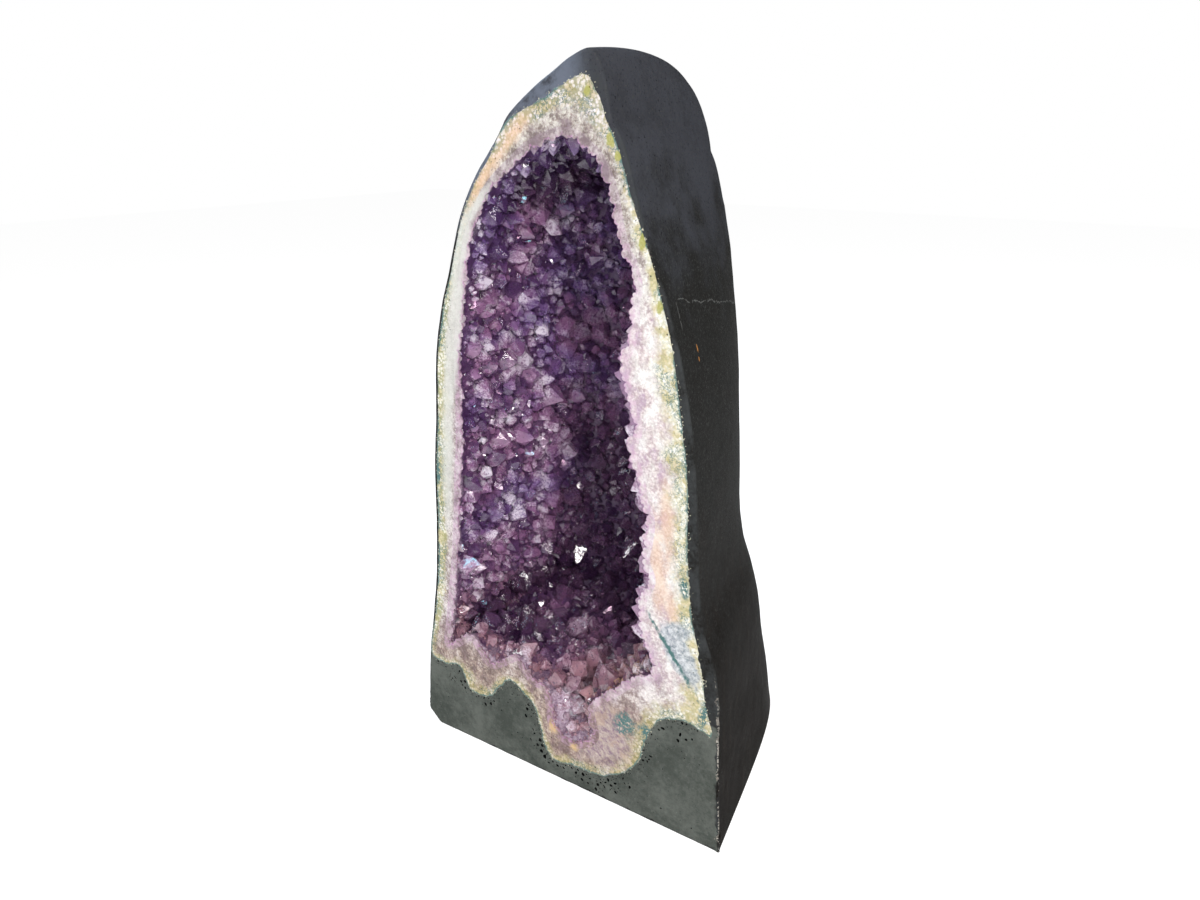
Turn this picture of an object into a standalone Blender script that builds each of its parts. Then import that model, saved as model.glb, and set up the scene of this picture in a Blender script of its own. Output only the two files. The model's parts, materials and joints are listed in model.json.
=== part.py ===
"""Amethyst geode sawn open and stood on end, the kind sold as a cathedral.

Three pieces, all in metres with +Z up: the basalt body, the agate rind set in it, and the crust of
amethyst points that lines the rind's hollow. The sawn front faces -Y. The origin is on the ground,
under the middle of the geode's box.
"""

import math
import random

import bmesh
import bpy
import numpy as np
from mathutils import Vector, geometry, noise

MM = 0.001

# Driving dimensions, in metres
BASE_DEPTH = 0.280
FRONT_Y = -BASE_DEPTH / 2
GAP = 0.0003

# Outlines on the sawn front, in millimetres: (across, up), seen from the front
FACE_OUTLINE = [
    (175, 0), (172, 46), (169, 100), (167, 150), (161, 185), (150, 215), (144, 255), (140, 316),
    (133, 381), (122, 436), (105, 490), (85, 542), (68, 595), (58, 613), (51, 642), (40, 660),
    (22, 656), (0, 645), (-21, 632), (-39, 616), (-49, 601), (-61, 587), (-75, 570), (-94, 537),
    (-111, 487), (-121, 459), (-132, 412), (-137, 355), (-143, 302), (-146, 240), (-151, 182),
    (-159, 133), (-168, 81), (-174, 17), (-175, 0),
]
RIND_OUTLINE = [
    (162, 118), (156, 150), (150, 184), (139, 230), (134, 279), (131, 347), (124, 394), (113, 453),
    (96, 508), (77, 556), (64, 594), (54, 612), (47, 630), (34, 645), (19, 640), (0, 631),
    (-21, 621), (-40, 611), (-59, 584), (-73, 567), (-91, 536), (-108, 487), (-118, 459), (-129, 411),
    (-134, 355), (-140, 302), (-143, 240), (-148, 182), (-156, 133), (-164, 84), (-147, 78),
    (-128, 82), (-113, 59), (-100, 57), (-86, 61), (-72, 76), (-60, 90), (-43, 82), (-32, 74),
    (-25, 57), (-16, 25), (-5, 19), (13, 21), (37, 23), (52, 26), (65, 33), (82, 47), (92, 62),
    (102, 96), (112, 113), (127, 121), (142, 122),
]
MOUTH_OUTLINE = [
    (103, 157), (106, 169), (95, 191), (90, 209), (91, 229), (99, 250), (93, 267), (96, 287), (97, 305),
    (90, 321), (87, 338), (81, 354), (78, 362), (84, 380), (79, 396), (72, 420), (70, 435),
    (76, 448), (80, 468), (79, 482), (82, 492), (77, 510), (71, 520), (65, 538), (59, 563),
    (48, 584), (39, 592), (26, 600), (12, 602), (-4, 598), (-22, 590), (-37, 579), (-53, 567),
    (-68, 551), (-77, 534), (-86, 517), (-94, 483), (-100, 447), (-105, 411), (-106, 373),
    (-108, 334), (-113, 293), (-117, 251), (-123, 206), (-131, 159), (-135, 135), (-140, 104),
    (-122, 115), (-109, 124), (-96, 114), (-83, 101), (-71, 107), (-50, 121), (-44, 115),
    (-31, 102), (-17, 99), (-10, 80), (-7, 58), (8, 49), (26, 52), (42, 69), (37, 98), (48, 111),
    (67, 129), (87, 148),
]

# The body behind its face: its depth at each height, and how its sides draw in and its top rises
DEPTH_AT_HEIGHT = [
    (0.00, BASE_DEPTH), (0.06, 0.266), (0.12, 0.250), (0.18, 0.235), (0.24, 0.229), (0.36, 0.223),
    (0.50, 0.236),
]
FOOT_HEIGHT = 0.25
SIDE_TAPER = 0.333
FOOT_TAPER = 0.294
SIDE_ROUNDNESS = 4.07
FOOT_ROUNDNESS = 5.56
SHOULDER_HEIGHT = 0.536
VAULT_RISE = 0.167
VAULT_ROUNDNESS = 2.3
SIDE_ROWS = 18
LUMP_HEIGHT = 0.003
LUMP_SPACING = 0.085
SWELL = 0.0015
SHARP_ANGLE = math.radians(35)

# The hollow: its deepest line stands upright behind the face, and every side curves in to it
HOLLOW_DEPTH = 0.145
SPINE_X = -0.005
SPINE_LOW = 0.20
SPINE_HIGH = 0.50
WALL_ROUNDNESS = 2.6
FLOOR_ROUNDNESS = 5.0
FLOOR_TOP = 0.21
FLOOR_BLEND = 0.08
HOLLOW_TAPER = 0.21
RIND_TAPER = 0.26
RIND_DEPTH = 0.168
CRUST_EDGE = 0.005
CRUST_BACK = 0.006

# Crystals
CRYSTAL_SPACING = 0.0126
CRYSTAL_TRIES = 30000
POINT_STEEPNESS = 1.25
POINT_LEAN = 0.35
POINT_MARGIN = 0.0012
WALL_LIFT = 0.0022
SEED = 11

BODY_SHARES = [0, 0.12, 0.31, 0.5, 0.68, 0.8, 0.89, 0.945, 0.975, 0.991, 1]
BAG_SHARES = [0, 0.27, 0.52, 0.72, 0.86, 0.95, 0.988]


def smooth_step(value):
    """Ease a share from 0 to 1, flat at both ends."""
    share = min(max(value, 0.0), 1.0)
    return share * share * (3 - 2 * share)


def blend(first, second, share):
    return first + (second - first) * share


def in_metres(outline):
    return [Vector((across * MM, up * MM)) for across, up in outline]


def grown(outline, distance):
    """The closed outline moved outwards by a distance, with each side kept parallel."""
    area = sum(a.cross(b) for a, b in zip(outline, outline[1:] + outline[:1]))
    side = math.copysign(1, area)
    moved = []
    for index, point in enumerate(outline):
        before = (point - outline[index - 1]).normalized() * side
        after = (outline[(index + 1) % len(outline)] - point).normalized() * side
        outward = Vector((before.y + after.y, -before.x - after.x)) / (1 + before.dot(after))
        moved.append(point + outward * distance)
    return moved


def body_depth(height):
    heights, depths = zip(*DEPTH_AT_HEIGHT)
    return float(np.interp(height, heights, depths))


def lump(place):
    """How far the weathered body stands out at a place."""
    return SWELL + LUMP_HEIGHT * noise.noise(place / LUMP_SPACING)


def body_point(face_point, share):
    """A point of the body's back, a share of the way from the sawn face to its deepest line."""
    across, up = face_point
    foot = min(max(1 - up / FOOT_HEIGHT, 0), 1)
    roundness = blend(SIDE_ROUNDNESS, FOOT_ROUNDNESS, foot)
    taper = blend(SIDE_TAPER, FOOT_TAPER, foot)
    x = across * (1 - taper * share) * (1 - share**roundness) ** (1 / roundness)
    z = up
    if up > SHOULDER_HEIGHT:
        vault = (1 + VAULT_RISE * share) * (1 - share**VAULT_ROUNDNESS) ** (1 / VAULT_ROUNDNESS)
        z = SHOULDER_HEIGHT + (up - SHOULDER_HEIGHT) * vault
    y = FRONT_Y + body_depth(up) * share
    ease = smooth_step(share / 0.2) * smooth_step(up / 0.05)
    standing = lump(Vector((x, y, z))) * ease
    out_x = math.copysign(1, across) * (1 - share)
    return Vector((x + out_x * standing, y + share * standing, z))


def body_face_points():
    """Points of the face outline from its right foot over the top to its left foot.

    Both sides have points at the same heights below the shoulder, so they meet on the back.
    """
    outline = in_metres(FACE_OUTLINE)
    top = max(range(len(outline)), key=lambda index: outline[index].y)
    sides = []
    for side in (outline[: top + 1], outline[top:][::-1]):
        ups = [point.y for point in side]
        acrosses = [point.x for point in side]
        heights = np.linspace(0, SHOULDER_HEIGHT, SIDE_ROWS + 1)
        low = [Vector((np.interp(height, ups, acrosses), height)) for height in heights]
        high = [point for point in side if point.y > SHOULDER_HEIGHT + 2 * MM]
        sides.append(low + high)
    right, left = sides
    return right + left[-2::-1]


def bag_share(up, share, taper):
    """How much of its width a bag keeps at a share of its depth: its floor stays flat for longest."""
    floor = smooth_step((FLOOR_TOP - up) / FLOOR_BLEND)
    roundness = blend(WALL_ROUNDNESS, FLOOR_ROUNDNESS, floor)
    return (1 - taper * share) * (1 - share**roundness) ** (1 / roundness)


def spine_of(edge_point):
    """The point of the deepest line that the wall behind an edge point curves in to."""
    return Vector((SPINE_X, min(max(edge_point.y, SPINE_LOW), SPINE_HIGH)))


def bag_point(edge_point, share, depth, taper):
    """A point of the wall of a bag-shaped hollow that opens on the sawn face."""
    spine = spine_of(edge_point)
    keep = bag_share(edge_point.y, share, taper)
    flat = spine + (edge_point - spine) * keep
    return Vector((flat.x, FRONT_Y + depth * share, flat.y))


def new_object(name, bm, collection, material=None):
    mesh = bpy.data.meshes.new(name)
    bmesh.ops.recalc_face_normals(bm, faces=bm.faces)
    sides = [face for face in bm.faces if len(face.verts) == 4]
    bmesh.ops.triangulate(bm, faces=sides, quad_method="FIXED")
    bm.to_mesh(mesh)
    bm.free()
    piece = bpy.data.objects.new(name, mesh)
    collection.objects.link(piece)
    if material:
        mesh.materials.append(material)
    return piece


def add_ring(bm, points):
    return [bm.verts.new(point) for point in points]


def join_rings(bm, first, second, closed=True):
    count = len(first)
    for index in range(count if closed else count - 1):
        after = (index + 1) % count
        bm.faces.new((first[index], first[after], second[after], second[index]))


def bag_rings(bm, outline, depth, taper):
    rings = [
        add_ring(bm, [bag_point(point, share, depth, taper) for point in outline])
        for share in BAG_SHARES
    ]
    for front, back in zip(rings, rings[1:]):
        join_rings(bm, front, back)
    bm.faces.new(rings[-1])
    return rings


def bag_solid(name, outline, depth, taper, collection, reach=0.0):
    """A closed bag, with a straight neck in front of the sawn face where it is a cutter."""
    bm = bmesh.new()
    mouth = bag_rings(bm, outline, depth, taper)[0]
    if reach:
        neck = add_ring(bm, [Vector((point.x, FRONT_Y - reach, point.y)) for point in outline])
        join_rings(bm, neck, mouth)
        mouth = neck
    bm.faces.new(mouth)
    return new_object(name, bm, collection)


def cut_with(piece, cutter):
    cutter.hide_render = True
    cutter.display_type = "WIRE"
    cut = piece.modifiers.new("hollow", "BOOLEAN")
    cut.operation = "DIFFERENCE"
    cut.object = cutter


def make_body(collection, cutters, material):
    """The basalt, sawn flat in front and underneath, with the room for the rind cut out of it."""
    bm = bmesh.new()
    face_points = body_face_points()
    rings = [
        add_ring(bm, [body_point(point, share) for point in face_points]) for share in BODY_SHARES
    ]
    for front, back in zip(rings, rings[1:]):
        join_rings(bm, front, back, closed=False)
    bm.faces.new(rings[0])
    right_foot = [ring[0] for ring in rings]
    left_foot = [ring[-1] for ring in rings]
    bm.faces.new(right_foot + left_foot[-2::-1])
    bmesh.ops.remove_doubles(bm, verts=bm.verts, dist=MM / 100)
    bmesh.ops.dissolve_degenerate(bm, edges=bm.edges, dist=MM / 100)
    body = new_object("basalt_body", bm, collection, material)
    body.data.shade_smooth()
    body.data.set_sharp_from_angle(angle=SHARP_ANGLE)
    room = grown(in_metres(RIND_OUTLINE), GAP)
    cutter = bag_solid("rind_room", room, RIND_DEPTH + GAP, RIND_TAPER, cutters, reach=0.01)
    cut_with(body, cutter)
    return body


def make_rind(collection, cutters, material):
    """The banded agate wall that shows as the polished rim round the hollow."""
    outline = in_metres(RIND_OUTLINE)
    rind = bag_solid("agate_rind", outline, RIND_DEPTH, RIND_TAPER, collection)
    rind.data.materials.append(material)
    room = grown(in_metres(MOUTH_OUTLINE), CRUST_EDGE + GAP)
    depth = HOLLOW_DEPTH + CRUST_BACK + GAP
    cutter = bag_solid("crust_room", room, depth, HOLLOW_TAPER, cutters, reach=0.01)
    cut_with(rind, cutter)
    return rind


def crystal_seats(mouth):
    """Scattered points on the hollow's wall, one for each crystal: (edge point, share, place)."""
    chance = random.Random(SEED)
    steps = [(b - a).length for a, b in zip(mouth, mouth[1:] + mouth[:1])]
    along = np.concatenate([[0], np.cumsum(steps)])
    places = np.array([bag_point(point, 0, HOLLOW_DEPTH, HOLLOW_TAPER) for point in mouth])
    seats = []
    for _ in range(CRYSTAL_TRIES):
        distance = chance.uniform(0, along[-1])
        index = min(int(np.searchsorted(along, distance, side="right")) - 1, len(mouth) - 1)
        part = (distance - along[index]) / steps[index]
        edge_point = mouth[index].lerp(mouth[(index + 1) % len(mouth)], part)
        share = math.sin(chance.uniform(0.04, 1) * math.pi / 2)
        place = bag_point(edge_point, share, HOLLOW_DEPTH, HOLLOW_TAPER)
        nearest = np.linalg.norm(places - np.array(place), axis=1).min()
        if nearest > CRYSTAL_SPACING:
            places = np.vstack([places, place])
            seats.append((edge_point, share, place))
    return seats


def unrolled(edge_point, share):
    """The wall laid out flat, so that the seats can be joined into triangles."""
    spine = spine_of(edge_point)
    outward = edge_point - spine
    keep = bag_share(edge_point.y, share, HOLLOW_TAPER)
    reach = outward.length * keep + HOLLOW_DEPTH * (1 - share)
    return spine + outward.normalized() * reach


def seat_mesh(mouth):
    """Triangles between the seats and the mouth's edge. The first points are the edge's."""
    seats = [(point, 0, bag_point(point, 0, HOLLOW_DEPTH, HOLLOW_TAPER)) for point in mouth]
    seats += crystal_seats(mouth)
    flat = [unrolled(edge_point, share) for edge_point, share, _ in seats]
    rim = list(range(len(mouth)))
    _, _, triangles, _, _, _ = geometry.delaunay_2d_cdt(flat, [], [rim], 1, 1e-7)
    bm = bmesh.new()
    verts = add_ring(bm, [place for _, _, place in seats])
    for triangle in triangles:
        bm.faces.new([verts[index] for index in triangle])
    inner = [edge for edge in bm.edges if not edge.is_boundary]
    bmesh.ops.beautify_fill(bm, faces=bm.faces, edges=inner, method="ANGLE")
    bm.verts.ensure_lookup_table()
    bm.faces.index_update()
    bm.normal_update()
    return bm


def faces_round(vert):
    """The faces round a vertex in order, from one open edge to the other on the rim."""
    starts = [loop for loop in vert.link_loops if loop.edge.is_boundary]
    first = loop = starts[0] if starts else vert.link_loops[0]
    found = []
    while True:
        found.append(loop.face)
        if loop.link_loop_prev.edge.is_boundary:
            return found
        loop = loop.link_loop_prev.link_loop_radial_next
        if loop == first:
            return found


def crystal_tip(seat, ring, chance):
    """Where a crystal's point ends: over its seat, leaning a little, never past the sawn face."""
    centre = sum((corner.co for corner in ring), Vector()) / len(ring)
    radius = sum((corner.co - centre).length for corner in ring) / len(ring)
    lean = Vector([chance.uniform(-1, 1) for _ in range(3)]) * POINT_LEAN * radius
    lean -= seat.normal * lean.dot(seat.normal)
    height = radius * POINT_STEEPNESS * chance.uniform(0.75, 1.2)
    tip = centre + seat.normal * height + lean
    tip.y = max(tip.y, FRONT_Y + POINT_MARGIN)
    return tip


def make_crust(collection, material):
    """The crust of amethyst points: one flat-faced point over each seat, on a thin closed wall."""
    mouth = in_metres(MOUTH_OUTLINE)
    seats = seat_mesh(mouth)
    chance = random.Random(SEED + 1)
    bm = bmesh.new()
    lip = add_ring(bm, [vert.co.copy() for vert in seats.verts[: len(mouth)]])
    corners = [
        bm.verts.new(face.calc_center_median() + face.normal * WALL_LIFT) for face in seats.faces
    ]
    for vert in seats.verts:
        ring = [corners[face.index] for face in faces_round(vert)]
        on_rim = vert.index < len(mouth)
        tip = lip[vert.index] if on_rim else bm.verts.new(crystal_tip(vert, ring, chance))
        pairs = zip(ring, ring[1:] + ([] if on_rim else ring[:1]))
        for first, second in pairs:
            bm.faces.new((first, second, tip))
    for edge in seats.edges:
        if edge.is_boundary:
            first, second = (lip[vert.index] for vert in edge.verts)
            bm.faces.new((first, second, corners[edge.link_faces[0].index]))
    seats.free()
    wall = bag_rings(bm, grown(mouth, CRUST_EDGE), HOLLOW_DEPTH + CRUST_BACK, HOLLOW_TAPER)
    join_rings(bm, lip, wall[0])
    return new_object("amethyst_crust", bm, collection, material)


def principled(name, colour, roughness, transmission=0.0, ior=1.5):
    material = bpy.data.materials.new(name)
    material.use_nodes = True
    shader = material.node_tree.nodes["Principled BSDF"]
    shader.inputs["Base Color"].default_value = (*colour, 1)
    shader.inputs["Metallic"].default_value = 0
    shader.inputs["Roughness"].default_value = roughness
    shader.inputs["Transmission Weight"].default_value = transmission
    shader.inputs["IOR"].default_value = ior
    return material


def main():
    for old in list(bpy.data.objects):
        bpy.data.objects.remove(old)
    geode = bpy.data.collections.new("amethyst_geode")
    cutters = bpy.data.collections.new("cutters")
    for collection in (geode, cutters):
        bpy.context.scene.collection.children.link(collection)
    make_body(geode, cutters, principled("basalt", (0.055, 0.060, 0.058), 0.6))
    make_rind(geode, cutters, principled("agate", (0.62, 0.52, 0.50), 0.3))
    make_crust(geode, principled("amethyst", (0.16, 0.07, 0.20), 0.12, 0.4, 1.544))


main()
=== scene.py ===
"""The looks of an amethyst geode, sawn open in front and stood on its sawn foot.

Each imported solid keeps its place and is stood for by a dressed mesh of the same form: the basalt body
with its pits and worn edges, the polished agate rim, and the hollow with its crust of crystals.
Metres, +Z up, the sawn front facing -Y and the origin on the ground under the middle of the box.
"""

import json
import logging
import math
import random
from collections.abc import Callable
from dataclasses import dataclass, field
from enum import Enum
from functools import cached_property

import bmesh
import bpy
import numpy as np
from mathutils import Matrix, Vector, geometry, kdtree, noise

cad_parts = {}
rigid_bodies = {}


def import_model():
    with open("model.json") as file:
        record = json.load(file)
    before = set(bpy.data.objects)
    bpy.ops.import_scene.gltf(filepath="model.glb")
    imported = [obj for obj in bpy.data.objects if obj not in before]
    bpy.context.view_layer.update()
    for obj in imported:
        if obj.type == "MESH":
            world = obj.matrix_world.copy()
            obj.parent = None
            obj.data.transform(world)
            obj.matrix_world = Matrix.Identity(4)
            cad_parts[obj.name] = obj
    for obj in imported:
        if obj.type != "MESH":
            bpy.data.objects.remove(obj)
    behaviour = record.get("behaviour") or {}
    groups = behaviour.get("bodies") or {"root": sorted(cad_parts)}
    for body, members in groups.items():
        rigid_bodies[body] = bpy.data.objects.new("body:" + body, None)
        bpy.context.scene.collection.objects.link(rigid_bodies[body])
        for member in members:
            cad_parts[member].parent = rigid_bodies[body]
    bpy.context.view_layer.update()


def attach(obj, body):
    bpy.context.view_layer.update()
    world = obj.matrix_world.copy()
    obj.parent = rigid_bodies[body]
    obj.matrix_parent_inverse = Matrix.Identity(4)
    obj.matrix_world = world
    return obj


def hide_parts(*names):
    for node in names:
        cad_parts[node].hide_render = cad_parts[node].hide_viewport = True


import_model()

LOG = logging.getLogger("geode")
BODY = "root"
MM = 0.001
Triple = tuple[float, float, float]
Colour = Triple
Array = np.ndarray
Piece = bpy.types.Object
Socket = bpy.types.NodeSocket
Material = bpy.types.Material

# Driving dimensions, in metres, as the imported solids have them
BASE_DEPTH = 0.280
FRONT_Y = -BASE_DEPTH / 2
MIDDLE_HEIGHT = 0.33
BAG_SHARES = (0.27, 0.52, 0.72, 0.86, 0.95, 0.988)
PIT_DEPTH = 0.8
SAWN_GRAIN = (0.0024, 4.0, 0.75)
SHARP_ANGLE = math.radians(40)

# Outlines on the sawn front, in millimetres: (across, up), seen from the front
FACE_OUTLINE = [
    (175, 0), (172, 46), (169, 100), (167, 150), (161, 185), (150, 215), (144, 255), (140, 316),
    (133, 381), (122, 436), (105, 490), (85, 542), (68, 595), (58, 613), (51, 642), (40, 660),
    (22, 656), (0, 645), (-21, 632), (-39, 616), (-49, 601), (-61, 587), (-75, 570), (-94, 537),
    (-111, 487), (-121, 459), (-132, 412), (-137, 355), (-143, 302), (-146, 240), (-151, 182),
    (-159, 133), (-168, 81), (-174, 17), (-175, 0),
]
RIND_OUTLINE = [
    (162, 118), (156, 150), (150, 184), (139, 230), (134, 279), (131, 347), (124, 394), (113, 453),
    (96, 508), (77, 556), (64, 594), (54, 612), (47, 630), (34, 645), (19, 640), (0, 631),
    (-21, 621), (-40, 611), (-59, 584), (-73, 567), (-91, 536), (-108, 487), (-118, 459), (-129, 411),
    (-134, 355), (-140, 302), (-143, 240), (-148, 182), (-156, 133), (-164, 84), (-147, 78),
    (-128, 82), (-113, 59), (-100, 57), (-86, 61), (-72, 76), (-60, 90), (-43, 82), (-32, 74),
    (-25, 57), (-16, 25), (-5, 19), (13, 21), (37, 23), (52, 26), (65, 33), (82, 47), (92, 62),
    (102, 96), (112, 113), (127, 121), (142, 122),
]
MOUTH_OUTLINE = [
    (103, 157), (106, 169), (95, 191), (90, 209), (91, 229), (99, 250), (93, 267), (96, 287), (97, 305),
    (90, 321), (87, 338), (81, 354), (78, 362), (84, 380), (79, 396), (72, 420), (70, 435),
    (76, 448), (80, 468), (79, 482), (82, 492), (77, 510), (71, 520), (65, 538), (59, 563),
    (48, 584), (39, 592), (26, 600), (12, 602), (-4, 598), (-22, 590), (-37, 579), (-53, 567),
    (-68, 551), (-77, 534), (-86, 517), (-94, 483), (-100, 447), (-105, 411), (-106, 373),
    (-108, 334), (-113, 293), (-117, 251), (-123, 206), (-131, 159), (-135, 135), (-140, 104),
    (-122, 115), (-109, 124), (-96, 114), (-83, 101), (-71, 107), (-50, 121), (-44, 115),
    (-31, 102), (-17, 99), (-10, 80), (-7, 58), (8, 49), (26, 52), (42, 69), (37, 98), (48, 111),
    (67, 129), (87, 148),
]
DEPTH_AT_HEIGHT = [
    (0.00, BASE_DEPTH), (0.06, 0.266), (0.12, 0.250), (0.18, 0.235), (0.24, 0.229), (0.36, 0.223),
    (0.50, 0.236),
]


def smooth_step(value: float | Array) -> float | Array:
    """Ease a share from 0 to 1, flat at both ends."""
    share = np.clip(value, 0.0, 1.0)
    return share * share * (3 - 2 * share)


def blend(first: float, second: float, share: float) -> float:
    """The value a share of the way from the first to the second."""
    return first + (second - first) * share


def in_metres(outline: list[tuple[float, float]]) -> Array:
    """An outline in millimetres as an array of (across, up) in metres."""
    return np.array(outline, float) * MM


def behind_front(flat: Array, depth: Array | float) -> Array:
    """The places a depth behind the sawn front, from (across, up) on it."""
    return np.stack([flat[:, 0], np.broadcast_to(FRONT_Y + depth, len(flat)), flat[:, 1]], axis=1)


def front_noise(flat: Array, size: float, layer: float) -> Array:
    """Noise about 0 at each (across, up) on the front, whose swells are about a size across."""
    return np.array([noise.noise(Vector((across / size, up / size, layer))) for across, up in flat])


def smooth_curve(corners: Array, step: float, closed: bool) -> Array:
    """Lay points about a step apart on the smooth curve through some corners.

    Args:
        corners: The points that the curve goes through, in order.
        step: The distance wanted between points, in metres.
        closed: Whether the curve joins up with its start.

    Returns:
        The points. An open curve ends with the last corner.
    """
    ends = (corners[-1:], corners[:2]) if closed else (
        2 * corners[:1] - corners[1:2], 2 * corners[-1:] - corners[-2:-1]
    )
    padded = np.vstack([ends[0], corners, ends[1]])
    points = []
    for four in zip(padded, padded[1:], padded[2:], padded[3:]):
        gaps = [math.sqrt(np.linalg.norm(b - a)) for a, b in zip(four, four[1:])]
        knots = np.concatenate([[0.0], np.cumsum(gaps)])
        count = max(2, round(np.linalg.norm(four[2] - four[1]) / step))
        at = np.linspace(knots[1], knots[2], count, endpoint=False)[:, None]

        def mixed(first: Array, second: Array, start: float, end: float) -> Array:
            """The blend of two points or curves between two knots."""
            return first + (second - first) * (at - start) / (end - start)

        lines = [mixed(four[k], four[k + 1], knots[k], knots[k + 1]) for k in range(3)]
        bends = [mixed(lines[k], lines[k + 1], knots[k], knots[k + 2]) for k in range(2)]
        points.append(mixed(bends[0], bends[1], knots[1], knots[2]))
    if not closed:
        points.append(corners[-1:])
    return np.vstack(points)


def outward_normals(outline: Array) -> Array:
    """The unit normals of a closed outline, pointing out of it.

    Args:
        outline: Its points in order.

    Returns:
        One normal for each point.
    """
    ahead = np.roll(outline, -1, axis=0) - np.roll(outline, 1, axis=0)
    ahead /= np.linalg.norm(ahead, axis=1, keepdims=True)
    sides = np.stack([ahead[:, 1], -ahead[:, 0]], axis=1)
    following = np.roll(outline, -1, axis=0)
    area = (outline[:, 0] * following[:, 1] - outline[:, 1] * following[:, 0]).sum()
    return sides * math.copysign(1, area)


def inside(points: Array, outline: Array) -> Array:
    """Tell which points lie inside a closed outline.

    Args:
        points: The points, as (across, up).
        outline: The outline's points in order.

    Returns:
        True or false for each point.
    """
    across, up = points[:, :1], points[:, 1:]
    start, end = outline, np.roll(outline, -1, axis=0)
    spans = (start[:, 1] > up) != (end[:, 1] > up)
    rise = np.where(start[:, 1] == end[:, 1], 1.0, end[:, 1] - start[:, 1])
    crossing = start[:, 0] + (up - start[:, 1]) / rise * (end[:, 0] - start[:, 0])
    return (spans & (across < crossing)).sum(axis=1) % 2 == 1


def distances_to(points: Array, others: Array) -> Array:
    """Measure from each point to the nearest of some others on the flat front.

    Args:
        points: The points, as (across, up).
        others: The points to measure to.

    Returns:
        One distance for each point.
    """
    tree = kdtree.KDTree(len(others))
    for index, (across, up) in enumerate(others):
        tree.insert((across, up, 0), index)
    tree.balance()
    return np.array([tree.find((across, up, 0))[2] for across, up in points])


def with_middles(line: Array) -> Array:
    """A closed line's points and the middles between them."""
    return np.vstack([line, (line + np.roll(line, -1, axis=0)) / 2])


def jittered_grid(outline: Array, spacing: float, chance: random.Random) -> Array:
    """Lay loose points over the box of an outline, shaken so that no rows show.

    Args:
        outline: The outline.
        spacing: About how far apart they lie.
        chance: What they are shaken by.

    Returns:
        The points, as (across, up).
    """
    low, high = outline.min(axis=0), outline.max(axis=0)
    points = []
    for row, up in enumerate(np.arange(low[1], high[1], spacing * 0.87)):
        for across in np.arange(low[0] + row % 2 * spacing / 2, high[0], spacing):
            shake = [chance.uniform(-0.25, 0.25) * spacing for _ in range(2)]
            points.append((across + shake[0], up + shake[1]))
    return np.array(points)


@dataclass
class Sheet:
    """A flat band of triangles between two closed outlines on the sawn front.

    Attributes:
        outer: The outer outline.
        inner: The outline of the hole.
        spacing: How far apart the loose points inside the band are.
        seed: What the loose points' places are drawn from.
    """

    outer: Array
    inner: Array
    spacing: float
    seed: int
    rings: list[Array] = field(default_factory=list)
    extra: list[Array] = field(default_factory=list)

    def keep_clear(self, points: Array, margin: float) -> Array:
        """Leave out the points that a line passes close by.

        Args:
            points: The points.
            margin: How close is too close.

        Returns:
            Those inside the band and clear of every line.
        """
        lines = np.vstack([self.outer, self.inner, *self.rings, *self.extra])
        points = points[inside(points, self.outer) & ~inside(points, self.inner)]
        return points[distances_to(points, lines) > margin]

    def filled(self) -> tuple[Array, list[tuple[int, ...]]]:
        """Fill the band.

        Returns:
            The points, the outer and the inner outline's first and in their order, and the triangles.
        """
        chance = random.Random(self.seed)
        grid = jittered_grid(self.outer, self.spacing, chance)
        loose = self.keep_clear(grid, self.spacing * 0.45)
        lines = [self.outer, self.inner, *self.rings]
        points = np.vstack([*lines, *self.extra, loose])
        edges, first = [], 0
        for line in lines:
            count = len(line)
            edges += [(first + k, first + (k + 1) % count) for k in range(count)]
            first += count
        found, _, faces, _, _, _ = geometry.delaunay_2d_cdt(
            [Vector(point) for point in points], edges, [], 0, 1e-7
        )
        if len(found) != len(points):
            LOG.warning("the sheet's lines cross or meet: %d points of %d", len(found), len(points))
        flat = np.array([tuple(point) for point in found])
        middles = flat[np.array(faces)].mean(axis=1)
        kept = inside(middles, self.outer) & ~inside(middles, self.inner)
        return flat, [tuple(face) for face, keep in zip(faces, kept) if keep]


@dataclass
class Pit:
    """One small bubble hole in a sawn face."""

    large = 0.0009
    many_sides = 9
    few_sides = 7
    floor_width = 0.72

    place: tuple[float, float]
    radius: float
    seed: int

    @cached_property
    def rings(self) -> list[Array]:
        """Draw the pit's two rings.

        Returns:
            Its uneven rim and the ring of its floor.
        """
        chance = random.Random(self.seed)
        sides = self.many_sides if self.radius > self.large else self.few_sides
        turn = chance.uniform(0, math.tau)
        squash = chance.uniform(0.38, 1.0)
        lean = chance.uniform(0, math.pi)
        found = []
        for scale in (1.0, self.floor_width):
            ring = []
            for side in range(sides):
                angle = turn + side * math.tau / sides
                reach = self.radius * scale * (chance.uniform(0.76, 1.14) if scale == 1 else 1)
                along, beside = math.cos(angle) * reach, math.sin(angle) * reach * squash
                across = along * math.cos(lean) - beside * math.sin(lean)
                up = along * math.sin(lean) + beside * math.cos(lean)
                ring.append((self.place[0] + across, self.place[1] + up))
            found.append(np.array(ring))
        return found


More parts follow.
